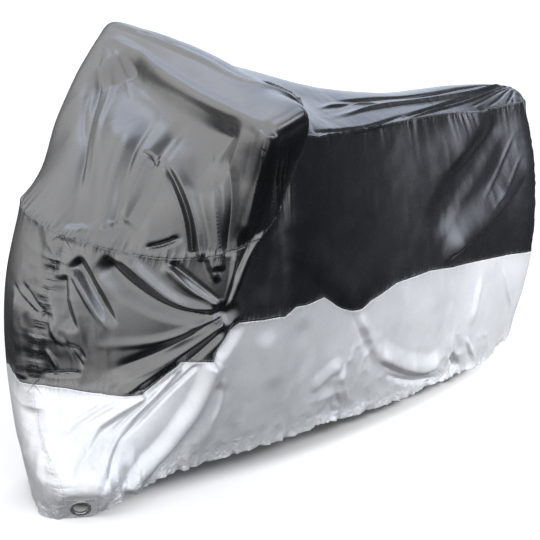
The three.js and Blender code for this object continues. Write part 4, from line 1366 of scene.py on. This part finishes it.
@dataclass(frozen=True)
class ClothFinish:
    """Looks of one coated cloth.

    Attributes:
        name: Common name of the material and how it is made.
        tone: Colour of the clean cloth.
        worn: Colour where the coating is rubbed or dusty.
        rough: Least and greatest roughness.
        metallic: Share of metal pigment in the coating.
        index: Refractive index of the coating.
        coat: Weight and roughness of the clear film.
        sheen: Weight of the fibre sheen.
        crease: Height of fine creases, in metres.
        thread: Colour of the sewing thread.
        hem_tone: Colour of the gathered hem band.
        weave: Spacing of the drawn threads, in metres. The cloth's own threads are finer,
            too fine for any view of the whole cover.
        stitch: Length of one stitch with its gap, in metres.
        stitch_share: Share of that length that is thread.
    """

    name: str
    tone: str
    worn: str
    rough: tuple[float, float]
    metallic: float
    index: float
    coat: tuple[float, float]
    sheen: float
    crease: float
    thread: str
    hem_tone: str
    weave: float = 0.7 * MM
    stitch: float = 3.6 * MM
    stitch_share: float = 0.68


# The coating fills the weave, so the black cloth is smooth and gives soft bright sheens.
BLACK_POLYESTER = ClothFinish(
    name="black polyester, plain weave, polyurethane coated",
    tone="#0d0e11",
    worn="#181a1e",
    rough=(0.22, 0.32),
    metallic=0.0,
    index=2.0,
    coat=(0.3, 0.25),
    sheen=0.04,
    crease=0.0007,
    thread="#2a2d32",
    hem_tone="#101114",
)

# The pigment scatters light as fine flakes do: pale and satin, with no sharp mirror.
SILVER_POLYESTER = ClothFinish(
    name="silver polyester, plain weave, aluminium pigment coated",
    tone="#c8cacd",
    worn="#b2b5b9",
    rough=(0.42, 0.54),
    metallic=0.5,
    index=1.5,
    coat=(0.1, 0.4),
    sheen=0.1,
    crease=0.0010,
    thread="#c9ccd0",
    hem_tone="#c6c8cb",
)


@dataclass(frozen=True)
class RingFinish:
    """Looks of the metal of the ring.

    Attributes:
        name: Common name of the metal and how it is made.
        tone: Colour of the bright metal.
        dull: Colour where it is dulled.
        metallic: Share of bare metal.
        rough: Least and greatest roughness.
        scratch: Width of the scratches, in metres.
        patch: Size of the dulled patches, in metres.
        depth: Depth of the scratches, in metres.
    """

    name: str
    tone: str
    dull: str
    metallic: float
    rough: tuple[float, float]
    scratch: float
    patch: float
    depth: float


# Plating shines like bare metal, but fine scratches and dull patches soften what it mirrors.
NICKEL_STEEL = RingFinish(
    name="nickel-plated steel, pressed",
    tone="#c9cbcd",
    dull="#8b8d90",
    metallic=0.85,
    rough=(0.26, 0.5),
    scratch=1.2 * MM,
    patch=7.0 * MM,
    depth=0.06 * MM,
)


@dataclass
class Nodes:
    """A node tree under construction."""

    tree: bpy.types.NodeTree

    def fill(self, node: bpy.types.ShaderNode, inputs: dict[int | str, object]) -> None:
        """Set inputs of a node, or link outputs of other nodes to them.

        Args:
            node: The node.
            inputs: Values or outputs, by name or number. None leaves an input alone.
        """
        for key, value in inputs.items():
            if isinstance(value, bpy.types.NodeSocket):
                self.tree.links.new(value, node.inputs[key])
            elif value is not None:
                node.inputs[key].default_value = value

    def add(
        self,
        kind: str,
        *values: object,
        out: int | str = 0,
        inputs: dict[int | str, object] | None = None,
        **settings: object,
    ) -> bpy.types.NodeSocket:
        """Add a node with its settings and links.

        Args:
            kind: Type name of the node, without its prefix.
            values: Values or outputs for its first inputs, in their order.
            out: Name or number of the output that is wanted.
            inputs: Values or outputs for more inputs, by name or number.
            settings: Properties of the node.

        Returns:
            The output that is wanted.
        """
        node = self.tree.nodes.new("ShaderNode" + kind)
        for key, value in settings.items():
            setattr(node, key, value)
        self.fill(node, dict(enumerate(values)) | (inputs or {}))
        return node.outputs[out]


def new_material(name: str) -> tuple[bpy.types.Material, Nodes, bpy.types.ShaderNode]:
    """Start a material.

    Args:
        name: Common name of what it shows, and how that is made.

    Returns:
        The material, its nodes and its surface shader.
    """
    material = bpy.data.materials.new(name)
    material.use_nodes = True
    return material, Nodes(material.node_tree), material.node_tree.nodes["Principled BSDF"]


@dataclass(frozen=True)
class Sewing:
    """How the cloth is sewn along one kind of border, in metres.

    Attributes:
        away: Attribute of the mesh that holds the distance from the border.
        pucker: Length of one pucker along the border, and its width away from it.
        detail: How many finer sizes of pucker there are.
        reach: Distance over which the puckers fall to a third.
        row: Distance of the row of thread from the border.
        thread: Distances from its row between which the thread falls away.
    """

    away: str
    pucker: tuple[float, float]
    detail: float
    reach: float
    row: float
    thread: tuple[float, float] = (0.3 * MM, 0.9 * MM)

    def build(self, s: Nodes, run: bpy.types.NodeSocket) -> tuple[bpy.types.NodeSocket, ...]:
        """Add the nodes for one kind of border.

        The puckers are noise over the run and the distance, each divided by their size.
        They fade as e to the power of minus distance over reach. The thread is one minus
        an eased step of the distance from its row.

        Args:
            s: Nodes of the cloth.
            run: Way along the border, in metres.

        Returns:
            Distance from the border, puckers, their fading and the row of thread.
        """
        away = s.add("Attribute", out="Fac", attribute_name=self.away)
        long, wide = self.pucker
        along = s.add("Math", run, long, operation="DIVIDE")
        across = s.add("Math", away, wide, operation="DIVIDE")
        flat = s.add("CombineXYZ", along, across)
        pucker = s.add("TexNoise", inputs={"Vector": flat, "Scale": 1.0, "Detail": self.detail})
        power = s.add("Math", away, -1.0 / self.reach, operation="MULTIPLY")
        fading = s.add("Math", math.e, power, operation="POWER")
        gap = s.add("Math", away, self.row, operation="SUBTRACT")
        gap = s.add("Math", gap, operation="ABSOLUTE")
        bare = s.add("MapRange", gap, *self.thread, **EASED)
        return away, pucker, fading, s.add("Math", 1.0, bare, operation="SUBTRACT")


SEAM_SEWING = Sewing("edge", (8.0 * MM, 30.0 * MM), 2.0, 14.0 * MM, 5.0 * MM)
HEM_SEWING = Sewing("hem", (14.0 * MM, 50.0 * MM), 3.0, 30.0 * MM, 24.0 * MM)


def cloth_material(finish: ClothFinish) -> bpy.types.Material:
    """Build a coated cloth with weave, creases, puckered seams, stitches and wear.

    Args:
        finish: Looks of the cloth.

    Returns:
        The material.
    """
    material, s, surface = new_material(finish.name)
    place = s.add("TexCoord", out="Object")
    flat_place = s.add("UVMap", uv_map="flat_cloth")
    run = s.add("Attribute", out="Fac", attribute_name="run")
    edge, pucker, beside_seam, seam_row = SEAM_SEWING.build(s, run)
    hem, ruffle, beside_hem, hem_row = HEM_SEWING.build(s, run)

    # The weave is a sine of the warp times a sine of the weft.
    threads = []
    for axis in (0, 1):
        along = s.add("SeparateXYZ", flat_place, out=axis)
        turn = s.add("Math", along, 2 * math.pi / finish.weave, operation="MULTIPLY")
        threads.append(s.add("Math", turn, operation="SINE"))
    weave = s.add("Math", *threads, operation="MULTIPLY")

    # Noise with marks of these sizes in metres, then its detail and its roughness.
    ripple, crinkle, dust, speck, rubbed = (
        s.add(
            "TexNoise",
            inputs={"Vector": place, "Scale": 1.0 / size, "Detail": detail, "Roughness": bias},
        )
        for size, detail, bias in (
            (45.0 * MM, 4.0, 0.55),
            (20.0 * MM, 2.0, 0.5),
            (220.0 * MM, 5.0, 0.6),
            (9.0 * MM, 2.0, 0.5),
            (60.0 * MM, 4.0, 0.5),
        )
    )
    creases = s.add(
        "TexVoronoi",
        out="Distance",
        inputs={"Vector": place, "Scale": 1.0 / 0.075, "Smoothness": 0.6, "Randomness": 1.0},
        feature="SMOOTH_F1",
    )
    crinkle = s.add("Math", crinkle, 0.5, operation="SUBTRACT")
    crinkle = s.add("Math", crinkle, operation="ABSOLUTE")
    past_hem = s.add("MapRange", hem, 0.02, 0.09, **EASED)
    near_hem = s.add("Math", 1.0, past_hem, operation="SUBTRACT")
    past_groove = s.add("MapRange", edge, 0.0, 2.5 * MM, **EASED)
    groove = s.add("Math", 1.0, past_groove, operation="SUBTRACT")

    # Stitches are the rows of thread, broken into dashes.
    dash = s.add("Math", run, finish.stitch, operation="DIVIDE")
    dash = s.add("Math", dash, operation="FRACT")
    dash = s.add("Math", dash, finish.stitch_share, operation="LESS_THAN")
    rows = s.add("Math", seam_row, hem_row, operation="MAXIMUM")
    stitch = s.add("Math", rows, dash, operation="MULTIPLY")

    normal = None
    for height, share, metres in (
        (creases, None, -2.4 * finish.crease),
        (ripple, None, finish.crease),
        (pucker, beside_seam, 5.0 * MM),
        (crinkle, near_hem, -7.0 * MM),
        (ruffle, beside_hem, 4.5 * MM),
        (groove, None, -1.2 * MM),
        (stitch, None, 0.35 * MM),
        (weave, None, 0.008 * MM),
    ):
        if share is not None:
            height = s.add("Math", height, share, operation="MULTIPLY")
        raised = {"Height": height, "Distance": metres, "Strength": 1.0, "Normal": normal}
        normal = s.add("Bump", inputs=raised)

    dust = s.add("MapRange", dust, 0.42, 0.68, **EASED)
    speck = s.add("MapRange", speck, 0.45, 0.75, **EASED)
    tone: object = colour(finish.tone)
    for share, weight, shade in (
        (dust, 0.55, finish.worn),
        (speck, 0.25, finish.worn),
        (beside_hem, 0.7, finish.hem_tone),
        (stitch, 0.9, finish.thread),
    ):
        share = s.add("Math", share, weight, operation="MULTIPLY")
        blend = {0: share, 6: tone, 7: colour(shade)}
        tone = s.add("Mix", out=2, inputs=blend, data_type="RGBA")

    low, high = finish.rough
    rough = s.add("MapRange", rubbed, inputs={"To Min": low, "To Max": high})
    raised_thread = s.add("Math", stitch, 0.2, operation="MULTIPLY")
    s.fill(
        surface,
        {
            "Base Color": tone,
            "Roughness": s.add("Math", rough, raised_thread, operation="ADD"),
            "Metallic": finish.metallic,
            "IOR": finish.index,
            "Coat Weight": finish.coat[0],
            "Coat Roughness": finish.coat[1],
            "Sheen Weight": finish.sheen,
            "Sheen Roughness": 0.4,
            "Normal": normal,
        },
    )
    return material


def ring_material(finish: RingFinish) -> bpy.types.Material:
    """Build the metal of the ring, scratched and dulled.

    Args:
        finish: Looks of the metal.

    Returns:
        The material.
    """
    material, s, surface = new_material(finish.name)
    place = s.add("TexCoord", out="Object")
    flattened = s.add("Mapping", inputs={"Vector": place, "Scale": (1.0, 1.0, 9.0)})
    marks, dull = (
        s.add(
            "TexNoise",
            inputs={"Vector": vector, "Scale": 1.0 / size, "Detail": detail, "Roughness": bias},
        )
        for vector, size, detail, bias in (
            (flattened, finish.scratch, 3.0, 0.7),
            (place, finish.patch, 4.0, 0.6),
        )
    )
    dull = s.add("MapRange", dull, 0.4, 0.7, **EASED)
    blend = {0: dull, 6: colour(finish.tone), 7: colour(finish.dull)}
    low, high = finish.rough
    raised = {"Height": marks, "Distance": finish.depth, "Strength": 1.0}
    s.fill(
        surface,
        {
            "Base Color": s.add("Mix", out=2, inputs=blend, data_type="RGBA"),
            "Metallic": finish.metallic,
            "Roughness": s.add("MapRange", marks, inputs={"To Min": low, "To Max": high}),
            "Normal": s.add("Bump", inputs=raised),
        },
    )
    return material


@dataclass(frozen=True)
class SoftBox:
    """One soft light of the studio, which fills in but is not mirrored.

    Attributes:
        name: Name of the light.
        at: Place in metres from the ground point.
        aim: Point that it faces.
        size: Width and height in metres.
        spread: Angle of its beam, in degrees.
        watts: Power.
        tint: Colour of the light.
    """

    name: str
    at: Point
    aim: Point
    size: tuple[float, float]
    spread: float
    watts: float
    tint: str

    def build(self) -> None:
        """Hang the light."""
        light = bpy.data.lights.new(self.name, "AREA")
        light.shape = "RECTANGLE"
        light.size, light.size_y = self.size
        light.spread = math.radians(self.spread)
        light.energy = self.watts
        light.color = colour(self.tint)[:3]
        lamp = bpy.data.objects.new(self.name, light)
        shift = Vector(SUPPORT) * MM
        lamp.location = Vector(self.at) - shift
        lamp.visible_glossy = False
        aim = Vector(self.aim) - Vector(self.at)
        lamp.rotation_euler = aim.to_track_quat("-Z", "Y").to_euler()
        bpy.context.scene.collection.objects.link(lamp)


SOFT_BOXES = (
    SoftBox("left", (-1.6, 3.6, 3.2), (-0.3, 0.2, 0.3), (2.8, 2.4), 180.0, 46.0, "#ffffff"),
    SoftBox("rear_left", (-2.0, 3.0, 2.4), (-0.82, 0.2, 0.25), (0.9, 0.9), 38.0, 15.0, "#ffffff"),
)


class Glow(NamedTuple):
    """Brightness of the surroundings at a cosine from the key direction."""

    cosine: float
    strength: float


SURROUNDINGS = (
    Glow(-1.0, 0.03),
    Glow(-0.50, 0.04),
    Glow(-0.20, 0.08),
    Glow(0.05, 0.28),
    Glow(0.30, 0.65),
    Glow(0.60, 1.60),
    Glow(0.85, 2.10),
)


class Lobe(NamedTuple):
    """A soft bright patch of the surroundings.

    Attributes:
        azimuth, elevation: Direction of its middle, in degrees.
        core, edge: Angles from the middle where it starts to fade and has gone, in degrees.
        strength: Brightness of the core.
        tone: Its colour.
    """

    azimuth: float
    elevation: float
    core: float
    edge: float
    strength: float
    tone: str


LOBES = (
    Lobe(-140.0, 56.0, 16.0, 36.0, 1.7, "#c6d2e9"),
    Lobe(-142.0, 14.0, 8.0, 26.0, 1.6, "#d2dced"),
    Lobe(84.0, 18.0, 14.0, 36.0, 1.3, "#f4f6f9"),
    Lobe(108.0, 8.0, 10.0, 30.0, 0.5, "#eef1f6"),
    Lobe(124.0, 26.0, 14.0, 30.0, 2.6, "#dfe6f2"),
    Lobe(34.0, -10.0, 12.0, 40.0, 1.1, "#fbfbfc"),
)


def toward(
    s: Nodes, place: bpy.types.NodeSocket, azimuth: float, elevation: float
) -> bpy.types.NodeSocket:
    """Cosine of the angle between a place on the sky and a direction.

    Args:
        s: Nodes of the sky.
        place: The place, as a unit vector.
        azimuth: Direction, in degrees from straight ahead to the left.
        elevation: Its height above the horizon, in degrees.

    Returns:
        The cosine.
    """
    turn, lift = math.radians(azimuth), math.radians(elevation)
    level = math.cos(lift)
    way = (level * math.cos(turn), level * math.sin(turn), math.sin(lift))
    return s.add("VectorMath", place, way, out="Value", operation="DOT_PRODUCT")


@dataclass(frozen=True)
class Studio:
    """Floor, background, light and camera.

    Attributes:
        azimuth: Direction of the camera, in degrees from straight ahead to the left.
        elevation: Its height above the horizon, in degrees.
        roll: Its lean, in degrees.
        distance: Its distance from the target, in metres.
        target: Point that it looks at, in metres from the ground point.
        lens: Focal length in millimetres on a sensor 36 mm wide.
        shift: Sideways shift as a share of the picture.
        ground: Height of the floor, in metres from the ground point.
        key: Azimuth and elevation of the brightest surroundings, in degrees.
        glow: Brightness of the surroundings, from the dark side to the key.
        shade: Half length and half width of the floor under the cover, in metres. The
            floor's glow is left out there, which paints the shadow under the cover.
        shade_edge: Shares of those between which the floor's glow comes in, the soft
            edge of that painted shadow.
        painted_shade_behind_eyelet: Spot of floor that shows through the eyelet, left without glow
            as
        painted shade for the dark inside the cover.
    """

    azimuth: float = 45.2
    elevation: float = 13.7
    roll: float = 0.8
    distance: float = 3.68
    target: Point = (0.12, -0.02, 0.48)
    lens: float = 80.2
    shift: float = 2.0 / 540.0
    ground: float = -0.0005
    key: tuple[float, float] = (-10.0, 43.0)
    glow: tuple[Glow, ...] = SURROUNDINGS
    shade: tuple[float, float] = (1.05, 0.27)
    shade_edge: tuple[float, float] = (0.80, 1.10)
    painted_shade_behind_eyelet: tuple[float, float] = (1.312, 0.098)

    def build(self) -> None:
        """Build the studio round the cover."""
        self._floor()
        self._sky()
        for box in SOFT_BOXES:
            box.build()
        self._camera()
        bpy.context.scene.view_settings.view_transform = "Standard"

    def _floor(self) -> None:
        """A pale floor that curves up into a background behind the cover. Its glow is left out
        under the cover and at a spot behind the eyelet, which paints shade there.
        """
        lift = self.ground - SUPPORT[2] * MM
        reach, rise, bend = 7.0, 9.0, 3.0
        angle = np.linspace(0.0, math.pi / 2.0, 24)
        way = np.concatenate([[-14.0], reach + bend * np.sin(angle), [reach + bend]])
        high = np.concatenate([[0.0], bend * (1.0 - np.cos(angle)), [rise]])
        azimuth = math.radians(self.azimuth)
        back = np.array([-math.cos(azimuth), -math.sin(azimuth), 0.0])
        across = np.array([-back[1], back[0], 0.0])
        line = way[:, None] * back + high[:, None] * np.array([0.0, 0.0, 1.0])
        line[:, 2] += lift
        wide = np.array([-16.0, 16.0])
        place = line[:, None] + wide[None, :, None] * across
        material, s, surface = new_material("white paper, matt")
        place_in = s.add("TexCoord", out="Object")
        marks = {"Vector": place_in, "Scale": 1.0 / 0.8, "Detail": 3.0}
        mottle = s.add("MapRange", s.add("TexNoise", inputs=marks), 0.3, 0.7, **EASED)
        blend = {0: mottle, 6: colour("#b9babb"), 7: colour("#bdbdbd")}
        # Ellipse of floor under the cover where the glow is left out: a painted shadow.
        long, broad = self.shade
        middle = (SUPPORT[0] * MM / long, SUPPORT[1] * MM / broad, 0.0)
        shrink = (1.0 / long, 1.0 / broad, 0.0)
        spot = s.add("Mapping", inputs={"Vector": place_in, "Location": middle, "Scale": shrink})
        away = s.add("VectorMath", spot, out="Value", operation="LENGTH")
        # Spot of floor seen through the eyelet's hole, left dark as painted shade.
        hole = (*self.painted_shade_behind_eyelet, lift)
        from_painted_shade_spot = s.add("VectorMath", place_in, hole, out="Value", operation="DISTANCE")
        # The floor glows evenly, save under the cover and at the spot behind the eyelet, where the
        # glow is taken out to paint shade.
        glow: object = 0.32
        for distance, low, high in ((away, *self.shade_edge), (from_painted_shade_spot, 0.04, 0.08)):
            outside_painted_shade = s.add("MapRange", distance, low, high, **EASED)
            glow = s.add("Math", outside_painted_shade, glow, operation="MULTIPLY")
        height = s.add("SeparateXYZ", place_in, out=2)
        climb = s.add("MapRange", height, lift + 0.1, lift + 3.0, **EASED)
        s.fill(
            surface,
            {
                "Base Color": s.add("Mix", out=2, inputs=blend, data_type="RGBA"),
                "Roughness": 0.9,
                "Emission Color": colour("#ffffff"),
                "Emission Strength": s.add("Math", climb, 0.4, glow, operation="MULTIPLY_ADD"),
            },
        )
        faces = grid_cells(grid_ids(place)).reshape(-1, 4).tolist()
        mesh = smooth_mesh("paper_sweep", place.reshape(-1, 3), faces, material)
        sweep = bpy.data.objects.new("paper_sweep", mesh)
        sweep.visible_glossy = False
        sweep.visible_diffuse = False
        bpy.context.scene.collection.objects.link(sweep)

    def _sky(self) -> None:
        """Light from all round: broad and bright in front, cooler above, dim behind."""
        world = bpy.data.worlds.new("studio")
        world.use_nodes = True
        s = Nodes(world.node_tree)
        place = s.add("TexCoord", out="Generated")
        cosine = toward(s, place, *self.key)
        strength: object = self.glow[0].strength
        for low, high in zip(self.glow, self.glow[1:]):
            share = s.add("MapRange", cosine, low.cosine, high.cosine, **EASED)
            more = high.strength - low.strength
            strength = s.add("Math", share, more, strength, operation="MULTIPLY_ADD")
        height = s.add("SeparateXYZ", place, out=2)
        above = s.add("MapRange", height, -0.40, 0.10, **EASED)
        above = s.add("Math", above, 0.90, 0.10, operation="MULTIPLY_ADD")
        strength = s.add("Math", strength, above, operation="MULTIPLY")
        white = colour("#fbfbfc")[:3]
        light = s.add("VectorMath", white, inputs={"Scale": strength}, operation="SCALE")
        for lobe in LOBES:
            core, edge = (math.cos(math.radians(angle)) for angle in (lobe.core, lobe.edge))
            cosine = toward(s, place, lobe.azimuth, lobe.elevation)
            share = s.add("MapRange", cosine, edge, core, **EASED)
            tint = tuple(lobe.strength * part for part in colour(lobe.tone)[:3])
            patch = s.add("VectorMath", tint, inputs={"Scale": share}, operation="SCALE")
            light = s.add("VectorMath", light, patch, operation="ADD")
        s.fill(world.node_tree.nodes["Background"], {"Color": light, "Strength": 1.0})
        bpy.context.scene.world = world

    def _camera(self) -> None:
        """Set the camera."""
        azimuth, elevation, roll = (
            math.radians(angle) for angle in (self.azimuth, self.elevation, self.roll)
        )
        level = math.cos(elevation)
        back = Vector((level * math.cos(azimuth), level * math.sin(azimuth), math.sin(elevation)))
        right = (-back).cross(Vector((0.0, 0.0, 1.0))).normalized()
        up = right.cross(-back)
        side = right * math.cos(roll) + up * math.sin(roll)
        above = up * math.cos(roll) - right * math.sin(roll)
        at = Vector(self.target) + back * self.distance - Vector(SUPPORT) * MM
        rows = [(side[i], above[i], back[i], at[i]) for i in range(3)]
        lens = bpy.data.cameras.new("camera")
        lens.lens, lens.sensor_width, lens.shift_x = self.lens, 36.0, self.shift
        lens.clip_start, lens.clip_end = 0.05, 60.0
        camera = bpy.data.objects.new("camera", lens)
        camera.matrix_world = Matrix((*rows, (0.0, 0.0, 0.0, 1.0)))
        bpy.context.scene.collection.objects.link(camera)
        bpy.context.scene.camera = camera


def main() -> None:
    """Build the cover, then the studio."""
    logging.basicConfig(level=logging.INFO, format="%(message)s")
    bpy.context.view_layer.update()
    skin = Skin(FINENESS)
    LOG.info("skin: %d points", len(skin.points))
    cover = Cover(
        skin=skin,
        eyelet=Eyelet(),
        dark=cloth_material(BLACK_POLYESTER),
        silver=cloth_material(SILVER_POLYESTER),
        metal=ring_material(NICKEL_STEEL),
    )
    cover.build()
    Studio().build()


if __name__ == "__main__":
    main()
